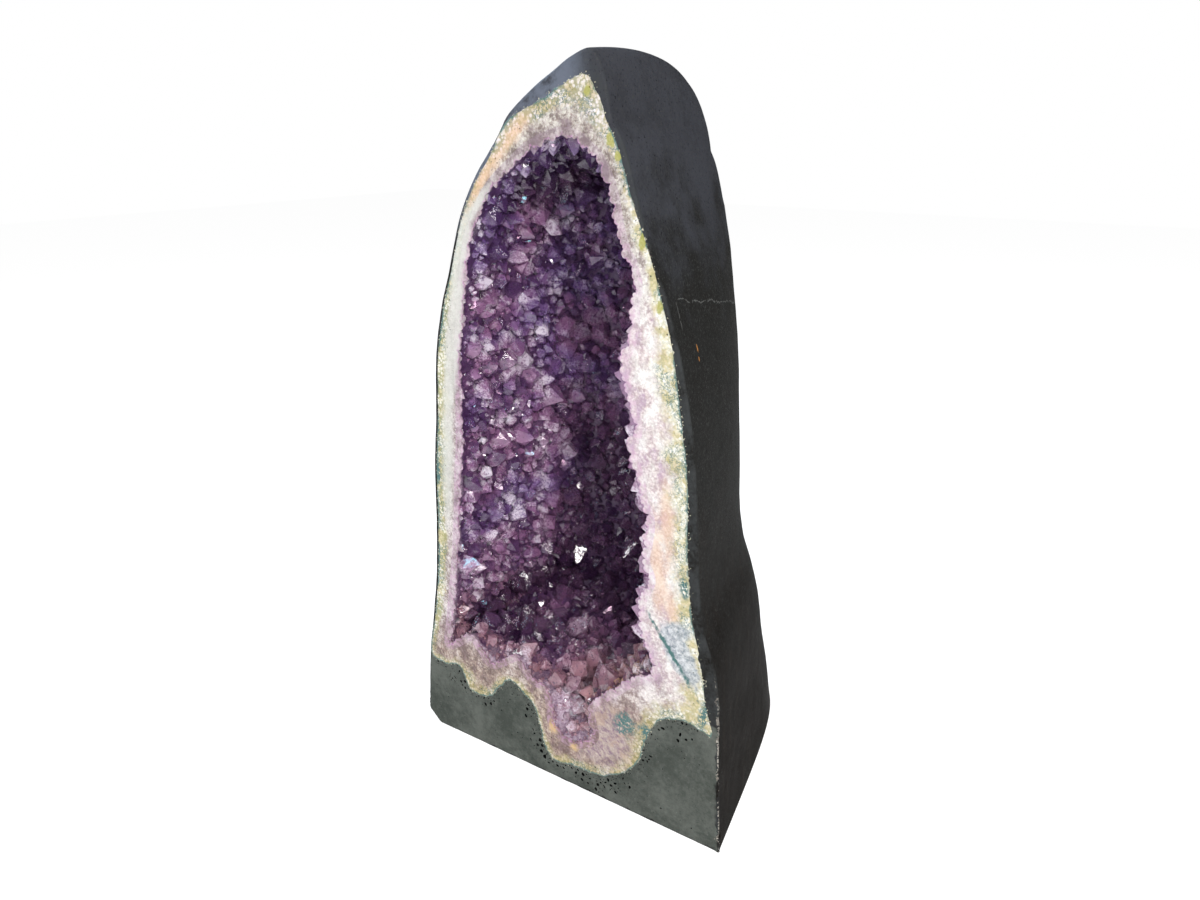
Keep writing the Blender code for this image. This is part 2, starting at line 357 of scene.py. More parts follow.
def scattered_pits(wanted: list[Triple], allowed: Callable[[Array], Array], seed: int) -> list[Pit]:
    """Keep the pits that fit beside each other, the largest first.

    Args:
        wanted: The pits' places and radii: (across, up, radius).
        allowed: Tells how far each of some points is from the nearest line to be kept off.
        seed: What the pits' shapes are drawn from.

    Returns:
        The pits that stay clear of the lines and of each other.
    """
    wanted = sorted(wanted, key=lambda pit: -pit[2])
    room = allowed(np.array([pit[:2] for pit in wanted]))
    kept: list[Triple] = []
    for (across, up, radius), clear in zip(wanted, room):
        apart = all(
            math.hypot(across - other[0], up - other[1]) > (radius + other[2]) * 1.16 + 0.0001
            for other in kept
        )
        if clear > radius * 1.25 + 0.0002 and apart:
            kept.append((across, up, radius))
    return [Pit(pit[:2], pit[2], seed + index) for index, pit in enumerate(kept)]


def sink_pits(pits: list[Pit], start: int, depth: Array, hole: Array) -> int:
    """Lower the pits' floors in a sheet whose points have their rings one after the other.

    Args:
        pits: The pits.
        start: The number of the first ring's first point.
        depth: How deep each point of the sheet lies, changed in place.
        hole: Whether each lies in a pit, changed in place.

    Returns:
        The number of the first point after the rings.
    """
    for pit in pits:
        for ring, is_floor in zip(pit.rings, (0, 1)):
            depth[start: start + len(ring)] = pit.radius * PIT_DEPTH * is_floor
            hole[start: start + len(ring)] = is_floor
            start += len(ring)
    return start


def in_scene(name: str, data: bpy.types.ID) -> Piece:
    """Put something in the scene as an object.

    Args:
        name: The object's name.
        data: Its mesh, light or camera.

    Returns:
        The object.
    """
    made = bpy.data.objects.new(name, data)
    bpy.context.scene.collection.objects.link(made)
    return made


@dataclass
class Shell:
    """Points and faces gathered for one closed mesh."""

    points: list[Triple] = field(default_factory=list)
    faces: list[tuple[int, ...]] = field(default_factory=list)
    values: dict[str, list[float]] = field(default_factory=dict)

    def add(self, points: Array, **values: Array | float) -> Array:
        """Add points with the values that their surface's finish reads.

        Args:
            points: The places, one row each.
            **values: A number for all of them or one for each, by name.

        Returns:
            The points' numbers in this shell.
        """
        first = len(self.points)
        self.points += [tuple(point) for point in points]
        for name in dict.fromkeys([*self.values, *values]):
            column = self.values.setdefault(name, [0.0] * first)
            column += list(np.broadcast_to(values.get(name, 0.0), len(points)))
        return np.arange(first, first + len(points))

    def join(self, rows: list[Array], closed: bool = True) -> None:
        """Bridge rows of as many points in their order with four-sided faces.

        Args:
            rows: The numbers of each row's points.
            closed: Whether the rows are rings. The far end of such a tube is shut.
        """
        for near, far in zip(rows, rows[1:]):
            fours = list(zip(near, np.roll(near, -1), np.roll(far, -1), far))
            self.faces += fours if closed else fours[:-1]
        if closed:
            self.faces.append(tuple(rows[-1]))

    def add_front(
        self, sheet: tuple[Array, list[tuple[int, ...]]], depth: Array | float,
        **values: Array | float,
    ) -> Array:
        """Add a filled sheet of the sawn front.

        Args:
            sheet: Its points and its triangles.
            depth: How far behind the front its points lie.
            **values: What they carry, by name.

        Returns:
            The points' numbers in this shell.
        """
        flat, faces = sheet
        numbers = self.add(behind_front(flat, depth), **values)
        self.faces += [tuple(numbers[k] for k in face) for face in faces]
        return numbers

    def finished(self, name: str) -> Piece:
        """Make the object: merge what meets, turn every face outwards and keep the values.

        Args:
            name: The piece's name.

        Returns:
            The piece, in the scene.
        """
        mesh = bpy.data.meshes.new(name)
        mesh.from_pydata(self.points, [], [tuple(int(k) for k in face) for face in self.faces])
        for value_name, column in self.values.items():
            layer = mesh.attributes.new(value_name, "FLOAT", "POINT")
            layer.data.foreach_set("value", column)
        bm = bmesh.new()
        bm.from_mesh(mesh)
        bmesh.ops.remove_doubles(bm, verts=bm.verts, dist=2e-6)
        bmesh.ops.dissolve_degenerate(bm, edges=bm.edges, dist=1e-6)
        bmesh.ops.recalc_face_normals(bm, faces=bm.faces)
        bmesh.ops.triangulate(bm, faces=bm.faces)
        open_edges = sum(not edge.is_manifold for edge in bm.edges)
        bm.to_mesh(mesh)
        bm.free()
        piece = in_scene(name, mesh)
        LOG.info("%s: %d triangles, %d open edges", name, len(mesh.polygons), open_edges)
        return piece


class Slot(Enum):
    """The record's material slots."""

    BASALT = "basalt"
    AGATE = "agate"
    AMETHYST = "amethyst"


def dress(piece: Piece, material: Material) -> None:
    """Give a piece its finish, and smooth shading that breaks at sharp edges.

    Args:
        piece: The piece.
        material: Its finish.
    """
    piece.data.materials.append(material)
    piece.data.shade_smooth()
    piece.data.set_sharp_from_angle(angle=SHARP_ANGLE)


def hand_over(piece: Piece, slot: Slot, *nodes: str) -> None:
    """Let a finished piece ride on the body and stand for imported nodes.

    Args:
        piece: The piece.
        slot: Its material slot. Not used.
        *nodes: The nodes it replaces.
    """
    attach(piece, BODY)
    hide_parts(*nodes)


class Value:
    """A socket of a material's nodes that takes part in Python expressions."""

    def __init__(self, recipe: "Recipe", socket: Socket) -> None:
        """Wrap one output socket of a recipe."""
        self.recipe = recipe
        self.socket = socket

    def __add__(self, other: "Number") -> "Value":
        """Self plus other."""
        return self.recipe.maths("ADD", self, other)

    __radd__ = __add__

    def __sub__(self, other: "Number") -> "Value":
        """Self less other."""
        return self.recipe.maths("SUBTRACT", self, other)

    def __rsub__(self, other: "Number") -> "Value":
        """Other less self."""
        return self.recipe.maths("SUBTRACT", other, self)

    def __mul__(self, other: "Number") -> "Value":
        """Self times other."""
        return self.recipe.maths("MULTIPLY", self, other)

    __rmul__ = __mul__

    def __truediv__(self, other: "Number") -> "Value":
        """Self divided by other."""
        return self.recipe.maths("DIVIDE", self, other)

    def __pow__(self, other: "Number") -> "Value":
        """Self raised to other."""
        return self.recipe.maths("POWER", self, other)


Number = Value | float | int


class Recipe:
    """A node tree, with a method for each kind of step that the finishes and the growth use."""

    def __init__(self, tree: bpy.types.NodeTree) -> None:
        """Start on an empty tree."""
        self.tree = tree
        self.tree.nodes.clear()

    def node(self, kind: str, settings: dict | None = None, sockets: dict | None = None) -> bpy.types.Node:
        """Add any node.

        Args:
            kind: The node's type.
            settings: Its own settings, set first.
            sockets: The values or links of its inputs, by name, identifier or number.

        Returns:
            The node.
        """
        made = self.tree.nodes.new(kind)
        for name, value in (settings or {}).items():
            setattr(made, name, value)
        for name, value in (sockets or {}).items():
            self.feed(self.find(made.inputs, name), value)
        return made

    @staticmethod
    def find(sockets: bpy.types.NodeInputs, name: str | int) -> Socket:
        """The socket with this identifier, or else this name or number."""
        exact = [socket for socket in sockets if socket.identifier == name]
        return exact[0] if exact else sockets[name]

    def feed(self, socket: Socket, value: object) -> None:
        """Link or set an input.

        Args:
            socket: The input.
            value: A value or socket to link, or the plain value to set.
        """
        if isinstance(value, Value):
            self.tree.links.new(value.socket, socket)
        elif isinstance(value, Socket):
            self.tree.links.new(value, socket)
        elif isinstance(value, tuple) and socket.type == "RGBA":
            socket.default_value = (*value[:3], 1)
        else:
            socket.default_value = value

    def value(self, made: bpy.types.Node, output: str | int = 0) -> Value:
        """An output of a node, for expressions."""
        return Value(self, self.find(made.outputs, output))

    def maths(self, operation: str, *terms: Number) -> Value:
        """One Math node."""
        return self.value(self.node("ShaderNodeMath", {"operation": operation}, dict(enumerate(terms))))

    def length(self, vector: Value) -> Value:
        """The length of a vector."""
        return self.value(self.node("ShaderNodeVectorMath", {"operation": "LENGTH"}, {0: vector}), "Value")

    def scaled(self, vector: Socket, factor: Value) -> Value:
        """A vector times a number."""
        sockets = {0: vector, "Scale": factor}
        return self.value(self.node("ShaderNodeVectorMath", {"operation": "SCALE"}, sockets))

    def eased(self, value: Value, low: float, high: float) -> Value:
        """Mask a value smoothly.

        Args:
            value: The value.
            low: Where the mask is 0.
            high: Where the mask is 1, above low or below it.

        Returns:
            The mask.
        """
        sockets = {"Value": value, "From Min": min(low, high), "From Max": max(low, high)}
        sockets |= {"To Min": float(low > high), "To Max": float(low < high)}
        return self.value(self.node("ShaderNodeMapRange", {"interpolation_type": "SMOOTHSTEP"}, sockets))

    @cached_property
    def here(self) -> Value:
        """The place on the piece, in metres."""
        return self.value(self.node("ShaderNodeTexCoord"), "Object")

    def axis(self, name: str) -> Value:
        """One coordinate of the place."""
        return self.value(self.node("ShaderNodeSeparateXYZ", sockets={0: self.here}), name)

    def read(self, name: str) -> Value:
        """A value that the mesh carries."""
        return self.value(self.node("ShaderNodeAttribute", {"attribute_name": name}), "Fac")

    def stretched(self, scale: Triple, centre: Triple = (0, 0, 0), turn: float = 0.0) -> Value:
        """The place from a centre, turned in the front's plane.

        Args:
            scale: What it is multiplied by on each axis.
            centre: The centre.
            turn: The turn in radians.

        Returns:
            The place, as a pattern reads it.
        """
        sockets = {"Vector": self.here, "Location": centre, "Rotation": (0.0, turn, 0.0)}
        sockets["Scale"] = tuple(1 / share for share in scale)
        return self.value(self.node("ShaderNodeMapping", {"vector_type": "TEXTURE"}, sockets))

    def cloud(
        self, size: float, detail: float, rough: float, warp: float = 0.0, on: Value | None = None
    ) -> Value:
        """Soft noise.

        Args:
            size: About how wide its blots are, in metres.
            detail: How many layers it has.
            rough: How strong the fine ones are.
            warp: How far it is bent.
            on: What it is laid on, if not the place.

        Returns:
            The noise, about 0.5.
        """
        sockets = {"Vector": on or self.here, "Scale": 1 / size, "Detail": detail, "Roughness": rough}
        sockets["Distortion"] = warp
        return self.value(self.node("ShaderNodeTexNoise", sockets=sockets), "Fac")

    def threads(self, size: float, detail: float, rough: float) -> Value:
        """Winding lines: 0 on them and more away from them."""
        return self.maths("ABSOLUTE", self.cloud(size, detail, rough) - 0.5)

    def grains(self, size: float) -> Value:
        """The distance from the middles of cells about a size across."""
        sockets = {"Vector": self.here, "Scale": 1 / size}
        return self.value(self.node("ShaderNodeTexVoronoi", sockets=sockets), "Distance")

    def mix(self, share: Number, first: Value | Colour, second: Value | Colour, way: str = "MIX") -> Value:
        """Blend two colours.

        Args:
            share: How much of the second shows, from 0 to 1.
            first: The colour under it.
            second: The colour over it.
            way: The kind of blend.

        Returns:
            The colour.
        """
        settings = {"data_type": "RGBA", "blend_type": way}
        sockets = {"Factor_Float": share, "A_Color": first, "B_Color": second}
        return self.value(self.node("ShaderNodeMix", settings, sockets), "Result_Color")

    def blot(self, mark: "Mark", ragged: float) -> Value:
        """Mask one mark on the sawn front.

        Args:
            mark: The mark.
            ragged: How uneven its edge is.

        Returns:
            The mask: 1 within the mark, with a soft edge.
        """
        centre = (mark.across * MM, FRONT_Y, mark.up * MM)
        size = (mark.width * MM / 2, 1.0, mark.height * MM / 2)
        around = self.stretched(tuple(1 / part for part in size), centre, math.radians(mark.turn))
        reach = self.length(around)
        shake = self.cloud(mark.grain * MM, 3.0, 0.65)
        return self.eased(reach + (shake - 0.5) * (2 * ragged), 1.0 + mark.soft, 1.0 - mark.soft)

    def painted(
        self, marks: tuple["Mark", ...], ragged: float, share: Number, colour: Value, paint: Colour
    ) -> Value:
        """Lay marks over a colour.

        Args:
            marks: The marks.
            ragged: How uneven their edges are.
            share: How much of their paint shows.
            colour: The colour under them.
            paint: Their own colour.

        Returns:
            The colour with the marks on it.
        """
        for mark in marks:
            colour = self.mix(self.blot(mark, ragged) * share, colour, paint)
        return colour

    def bump(self, height: Value, depth: float, strength: float = 1.0, under: Value | None = None) -> Value:
        """Raise a surface in relief.

        Args:
            height: The relief, from 0 to 1.
            depth: How far 1 stands proud, in metres.
            strength: How much of it shows.
            under: The normal of the relief under it.

        Returns:
            The normal.
        """
        sockets = {"Height": height, "Distance": depth, "Strength": strength}
        if under is not None:
            sockets["Normal"] = under
        return self.value(self.node("ShaderNodeBump", sockets=sockets), "Normal")

    def knobbly(self) -> Value:
        """The normal of sawn quartz: fine grain under low knobs."""
        grain = self.bump(self.cloud(*SAWN_GRAIN), 0.0005, 0.8)
        return self.bump(self.cloud(0.007, 3.0, 0.6), 0.0014, 0.7, grain)

    def finish(
        self, sockets: dict, volume: bpy.types.Node | None = None, milky: Number = 0.0,
        cover: dict | None = None,
    ) -> None:
        """End a material with one Principled shader, or with a second one over a share of it.

        Args:
            sockets: The shader's inputs.
            volume: What fills the piece.
            milky: How much of the cover shows.
            cover: The second shader's inputs.
        """
        surface = self.node("ShaderNodeBsdfPrincipled", sockets=sockets).outputs[0]
        if cover is not None:
            upper = self.node("ShaderNodeBsdfPrincipled", sockets=cover).outputs[0]
            surface = self.node("ShaderNodeMixShader", sockets={0: milky, 1: surface, 2: upper}).outputs[0]
        output = self.node("ShaderNodeOutputMaterial", sockets={"Surface": surface})
        if volume is not None:
            self.feed(output.inputs["Volume"], volume.outputs[0])


def new_recipe(name: str) -> tuple[Material, Recipe]:
    """Start a material.

    Args:
        name: Its name.

    Returns:
        The material and the recipe of its nodes.
    """
    material = bpy.data.materials.new(name)
    material.use_nodes = True
    return material, Recipe(material.node_tree)


@dataclass(frozen=True)
class Mark:
    """A coloured mark on the sawn front: its middle and size in millimetres, and its turn in degrees."""

    across: float
    up: float
    width: float
    height: float
    turn: float = 0.0
    soft: float = 0.25
    grain: float = 6.0


@dataclass(frozen=True)
class BasaltFinish:
    """Grey-green stone, honed on the sawn faces and nearly black with dressing round the sides."""

    honed: Colour = (0.055, 0.062, 0.054)
    honed_pale: Colour = (0.113, 0.122, 0.108)
    # Side tones: brown-black with painted shade at the foot, a plain mid tone, and a painted bluish sheen at
    # the top where light falls from above.
    side_top_lit_sheen: Colour = (0.047, 0.049, 0.058)
    side_mid: Colour = (0.019, 0.019, 0.018)
    side_foot_brown_and_shade: Colour = (0.0080, 0.0062, 0.0050)
    side_grain: Colour = (0.056, 0.058, 0.056)
    streak: Colour = (0.020, 0.015, 0.011)
    strip: Colour = (0.043, 0.046, 0.047)
    scuffed: Colour = (0.34, 0.32, 0.28)
    rust: Colour = (0.60, 0.26, 0.06)
    bare: Colour = (0.20, 0.185, 0.16)
    crack: Colour = (0.15, 0.155, 0.15)
    # Painted bluish sky reflection for the upper left shoulder.
    sky_sheen_painted: Colour = (0.132, 0.150, 0.190)
    crumb: Colour = (0.50, 0.48, 0.36)
    pale_speck: Colour = (0.22, 0.23, 0.21)
    dark_speck: Colour = (0.035, 0.040, 0.037)
    scratch: Colour = (0.24, 0.25, 0.23)
    pore: Colour = (0.003, 0.003, 0.004)
    # Near-black painted shade for the pits' floors.
    pit: Colour = (0.004, 0.005, 0.005)
    rust_spots: tuple[tuple[Triple, float], ...] = (
        ((0.113, -0.099, 0.442), 0.0032), ((0.115, -0.100, 0.434), 0.0018),
    )
    rust_width: float = 0.0009
    rust_depth: float = 0.012

    def material(self) -> Material:
        """Mix the stone.

        Returns:
            The material of the whole rock.
        """
        material, recipe = new_recipe("basalt")
        depth = recipe.axis("Y")
        up = recipe.axis("Z")
        dressed = recipe.eased(recipe.read("dressed"), 0.3, 0.7)
        speckle = recipe.cloud(0.0022, 4.0, 0.7)
        cloudy = recipe.cloud(0.045, 4.0, 0.6)
        mottled = 0.6 * cloudy + 0.4 * recipe.cloud(0.007, 5.0, 0.75)
        honed = recipe.mix(recipe.eased(mottled, 0.38, 0.64), self.honed, self.honed_pale)
        honed = recipe.mix(recipe.eased(speckle, 0.60, 0.74) * 0.4, honed, self.pale_speck)
        honed = recipe.mix(recipe.eased(speckle, 0.42, 0.30) * 0.5, honed, self.dark_speck)
        scratches = recipe.cloud(0.0016, 2.0, 0.5, on=recipe.stretched((1, 1, 14), turn=0.4))
        honed = recipe.mix(recipe.eased(scratches, 0.68, 0.76) * 0.25, honed, self.scratch)
        # Painted light on the dressed side: painted shade towards the foot and a painted lit sheen towards
        # the top; the dull patches add painted shade low down.
        shaken = up + (cloudy - 0.5) * 0.25
        side = recipe.mix(recipe.eased(shaken, 0.10, 0.34), self.side_foot_brown_and_shade, self.side_mid)
        side = recipe.mix(recipe.eased(shaken, 0.46, 0.60), side, self.side_top_lit_sheen)
        dull = recipe.eased(mottled, 0.54, 0.40) * (0.45 - 0.25 * recipe.eased(up, 0.36, 0.50))
        side = recipe.mix(dull, side, self.side_foot_brown_and_shade)
        brushed = recipe.cloud(0.009, 4.0, 0.6, on=recipe.stretched((1, 1, 0.14)))
        brushed = recipe.eased(brushed, 0.52, 0.74) * recipe.eased(up, 0.36, 0.20)
        side = recipe.mix(brushed * 0.5, side, self.streak)
        grainy = recipe.eased(speckle, 0.55, 0.63) * (0.22 + 0.33 * recipe.eased(up, 0.10, 0.36))
        side = recipe.mix(grainy, side, self.side_grain)
        flecks = recipe.cloud(0.0016, 2.0, 0.5)
        side = recipe.mix(recipe.eased(flecks, 0.74, 0.80) * 0.5, side, self.bare)
        side = recipe.mix(recipe.eased(speckle, 0.42, 0.32) * 0.8, side, self.pore)
        front = recipe.eased(depth, FRONT_Y + 0.0040, FRONT_Y + 0.0018)
        side = recipe.mix(front * recipe.eased(mottled, 0.38, 0.60) * 0.9, side, self.strip)
        arris = recipe.eased(depth, FRONT_Y + 0.0030, FRONT_Y + 0.0020) * recipe.eased(up, 0.17, 0.13)
        arris = arris * recipe.eased(depth, FRONT_Y + 0.0001, FRONT_Y + 0.0005)
        scuffs = recipe.eased(flecks + 0.8 * (cloudy - 0.5), 0.55, 0.62)
        side = recipe.mix(arris * scuffs, side, self.scuffed)
        side = recipe.mix(self.crack_line(recipe), side, self.crack)
        side = recipe.mix(self.rust_flecks(recipe), side, self.rust)
        # Painted reflection: a bluish sky sheen on the upper left shoulder, fading back from the sawn front.
        shoulder = recipe.eased(up, 0.50, 0.57) * recipe.eased(recipe.axis("X"), 0.045, 0.015)
        shoulder = shoulder * recipe.eased(depth + (cloudy - 0.5) * 0.08, -0.045, -0.100)
        side = recipe.mix(shoulder * recipe.eased(mottled, 0.36, 0.54) * 0.85, side, self.sky_sheen_painted)
        colour = recipe.mix(dressed, honed, side)
        by_rim = recipe.read("by_rim")
        crumbs = recipe.cloud(0.0019, 2.0, 0.6) + 0.22 * by_rim
        crumbs = recipe.eased(crumbs, 0.79, 0.83) * recipe.eased(by_rim, 0.30, 0.70)
        colour = recipe.mix(crumbs * 0.9, colour, self.crumb)
        chipped = recipe.read("chipped")
        colour = recipe.mix(recipe.eased(chipped + (speckle - 0.5) * 2.6, 0.75, 1.1), colour, self.bare)
        # Painted shade: the pits' floors are darkened to near black.
        colour = recipe.mix(recipe.eased(recipe.read("pit"), 0.02, 0.30), colour, self.pit)
        rough = 0.60 + 0.25 * (cloudy - 0.5) + 0.3 * chipped
        hewn = recipe.cloud(0.0016, 4.0, 0.75)
        grain = recipe.bump(hewn * (0.35 + 0.65 * dressed), 0.00050, 0.8)
        swell = recipe.bump(recipe.cloud(0.012, 3.0, 0.6), 0.0012, 0.6, grain)
        shader = {"Base Color": colour, "Roughness": rough, "Normal": swell}
        recipe.finish(shader | {"Specular IOR Level": 0.015})
        return material

    def rust_flecks(self, recipe: Recipe) -> Value:
        """Mask the two short rusty flecks on the right side, one under the other.

        Args:
            recipe: The material's recipe.

        Returns:
            The mask.
        """
        flecks = 0.0
        for middle, length in self.rust_spots:
            around = recipe.stretched((1 / self.rust_depth, 1 / self.rust_width, 1 / length), middle)
            reach = recipe.length(around) + (recipe.cloud(0.002, 2.0, 0.6) - 0.5)
            flecks = recipe.maths("MAXIMUM", flecks, recipe.eased(reach, 1.2, 0.7))
        return flecks * 0.8

    def crack_line(self, recipe: Recipe) -> Value:
        """Mask the thin pale crack that crosses the right side and turns down near the front.

        Args:
            recipe: The material's recipe.

        Returns:
            The mask.
        """
        depth, up = recipe.axis("Y"), recipe.axis("Z")
        wander = (recipe.cloud(0.02, 4.0, 0.7) - 0.5) * 0.012
        on_right = recipe.eased(recipe.axis("X"), 0.01, 0.03)
        level = 0.480 - 0.18 * (depth + 0.105)
        across = recipe.eased(recipe.maths("ABSOLUTE", up - level + wander), 0.0007, 0.0001)
        across = across * recipe.eased(depth, -0.119, -0.113)
        down = recipe.eased(recipe.maths("ABSOLUTE", depth + 0.121 + wander * 0.5), 0.0008, 0.0002)
        down = down * recipe.eased(up, 0.482, 0.480) * recipe.eased(up, 0.459, 0.463)
        broken = recipe.eased(recipe.cloud(0.004, 2.0, 0.6), 0.40, 0.50)
        return recipe.maths("MAXIMUM", across, down) * on_right * broken * 0.65


@dataclass(frozen=True)
class AgateFinish:
    """Polished agate: mossy and cream outside, pinkish quartz inside, with its own marks."""

    cream: Colour = (0.66, 0.62, 0.46)
    honey: Colour = (0.52, 0.43, 0.20)
    moss: Colour = (0.26, 0.26, 0.09)
    olive: Colour = (0.34, 0.33, 0.07)
    teal: Colour = (0.045, 0.130, 0.125)
    quartz: Colour = (0.46, 0.36, 0.36)
    quartz_pale: Colour = (0.74, 0.67, 0.65)
    lilac: Colour = (0.38, 0.25, 0.38)
    dusk: Colour = (0.25, 0.18, 0.18)
    white: Colour = (0.80, 0.79, 0.75)
    chalk: Colour = (0.58, 0.58, 0.53)
    peach: Colour = (0.68, 0.44, 0.28)
    amber: Colour = (0.62, 0.42, 0.17)
    shade: Colour = (0.56, 0.53, 0.50)
    # Dark painted shade for the small holes' floors.
    hole: Colour = (0.08, 0.09, 0.07)
    quartz_high: Colour = (0.84, 0.88, 0.80)
    quartz_low: Colour = (0.66, 0.55, 0.44)
    moss_high: Colour = (0.88, 0.84, 0.92)
    moss_low: Colour = (0.80, 0.72, 0.62)
    lens_dark: Colour = (0.16, 0.20, 0.24)
    lens_pale: Colour = (0.62, 0.64, 0.66)
    druse_dark: Colour = (0.22, 0.13, 0.20)
    druse_pale: Colour = (0.54, 0.45, 0.38)
    druse_tan: Colour = (0.50, 0.36, 0.26)
    peach_marks: tuple[Mark, ...] = (
        Mark(-56, 578, 9, 58, 46, 0.8), Mark(-74, 557, 7, 40, 38, 0.8),
        Mark(-30, 605, 10, 30, 50, 0.8), Mark(106, 262, 14, 70, -6, 0.8, 9),
        Mark(113, 305, 12, 60, -4, 0.8, 9), Mark(121, 225, 10, 36, -10, 0.8),
    )
    chalk_marks: tuple[Mark, ...] = (
        Mark(-80, 541, 10, 56, 44, 0.5), Mark(-95, 509, 14, 70, 19, 0.4),
        Mark(-109, 432, 16, 200, 9.5, 0.4, 8), Mark(-124, 322, 13, 150, 4, 0.6, 8),
    )
    olive_marks: tuple[Mark, ...] = (
        Mark(37, 632, 6, 8), Mark(57, 598, 6, 10, -12), Mark(64, 587, 6, 7), Mark(86, 527, 6, 13, 10),
        Mark(102, 480, 6, 9),
    )
    teal_marks: tuple[Mark, ...] = (
        Mark(75, 95, 22, 24, 10, 0.3), Mark(100, 92, 12, 30, -28, 0.4), Mark(154, 138, 9, 26, 10, 0.5),
        Mark(131, 252, 9, 20, 0, 0.5), Mark(-138, 296, 5, 26, 0, 0.5), Mark(-146, 210, 5, 36, 0, 0.5),
    )
    amber_marks: tuple[Mark, ...] = (Mark(-7, 58, 9, 13, 0, 0.7, 4), Mark(18, 45, 9, 7, -15, 0.7, 4))
    lens_body: Mark = Mark(129, 188, 25, 62, -33, 0.2, 10)
    lens_head: Mark = Mark(124, 207, 30, 20, -20, 0.3, 10)
    lens_edge: Mark = Mark(121, 186, 4, 66, -37, 0.6, 5)
    druse_patch: Mark = Mark(46, 72, 66, 70, 0, 0.35, 14)

    def material(self) -> Material:
        """Lay the bands of the rim one over the other.

        Returns:
            The material of the whole rind.
        """
        material, recipe = new_recipe("agate")
        outside = recipe.read("from_rock")
        share = outside / (outside + recipe.read("from_hollow") + 0.0001)
        share = share + (recipe.cloud(0.020, 4.0, 0.65) - 0.5) * 0.9
        colour = self.granular(recipe, share)
        colour = self.mossy(recipe, colour, share, outside)
        colour = self.white_band(recipe, colour)
        colour = recipe.painted(self.peach_marks, 0.9, 0.55, colour, self.peach)
        colour = self.marked(recipe, colour)
        # Painted shade: the small holes' floors are darkened.
        colour = recipe.mix(recipe.eased(recipe.read("pit"), 0.1, 0.7) * 0.8, colour, self.hole)
        rough = 0.24 + 0.25 * recipe.eased(recipe.cloud(*SAWN_GRAIN), 0.5, 0.8)
        shader = {"Base Color": colour, "Roughness": rough, "Normal": recipe.knobbly()}
        shader |= {"Specular IOR Level": 0.45, "Subsurface Weight": 0.10}
        shader |= {"Subsurface Radius": (0.004, 0.003, 0.003), "Subsurface Scale": 1.0}
        recipe.finish(shader)
        return material

    def granular(self, recipe: Recipe, share: Number) -> Value:
        """The milky quartz of the rim, whitest on the right and dusky at the top and the bottom.

        Args:
            recipe: The material's recipe.
            share: How far the place lies from the rock towards the hollow.

        Returns:
            The colour.
        """
        up = recipe.axis("Z")
        milky = recipe.eased(recipe.axis("X"), 0.0, 0.06)
        milky = milky * recipe.eased(up, 0.55, 0.44) * recipe.eased(up, 0.10, 0.18)
        broad = recipe.cloud(0.013, 3.0, 0.6, on=recipe.stretched((1, 1, 0.6)))
        knots = recipe.cloud(0.0055, 5.0, 0.8)
        fine = recipe.cloud(*SAWN_GRAIN)
        quartz = recipe.mix(recipe.eased(fine, 0.38, 0.62), self.quartz, self.quartz_pale)
        quartz = recipe.mix(recipe.eased(broad, 0.46, 0.62) * (0.25 + 0.6 * milky), quartz, self.white)
        quartz = recipe.mix(recipe.eased(broad, 0.48, 0.34) * 0.6, quartz, self.lilac)
        quartz = recipe.mix(recipe.eased(knots, 0.54, 0.40) * (0.85 - 0.50 * milky), quartz, self.dusk)
        seams = recipe.threads(0.0065, 2.0, 0.6)
        quartz = recipe.mix(recipe.eased(seams, 0.014, 0.002) * 0.35, quartz, self.lilac)
        quartz = recipe.mix(recipe.eased(share, 0.70, 1.05) * (0.45 - 0.25 * milky), quartz, self.lilac)
        shaded = recipe.eased(broad + (knots - 0.5) * 0.5, 0.66, 0.36) * (1 - milky)
        quartz = recipe.mix(shaded * 0.9, quartz, self.shade, "MULTIPLY")
        high = recipe.eased(up + (broad - 0.5) * 0.10, 0.47, 0.56)
        quartz = recipe.mix(high * 0.9, quartz, self.quartz_high, "MULTIPLY")
        low = recipe.eased(up + (broad - 0.5) * 0.10, 0.15, 0.08)
        return recipe.mix(low * 0.9, quartz, self.quartz_low, "MULTIPLY")

    def white_band(self, recipe: Recipe, colour: Value) -> Value:
        """Lay the broad white band beside the crystals on the left, drawn out along its length.

        Args:
            recipe: The material's recipe.
            colour: The colour under it.

        Returns:
            The colour with the band on it.
        """
        lines = recipe.cloud(0.0022, 3.0, 0.6, on=recipe.stretched((1, 1, 22), turn=0.17))
        strength = 0.92 - 0.50 * recipe.eased(lines, 0.48, 0.64)
        mask = 0.0
        for mark in self.chalk_marks:
            mask = recipe.maths("MAXIMUM", mask, recipe.blot(mark, 0.5))
        return recipe.mix(mask * strength, colour, self.chalk)

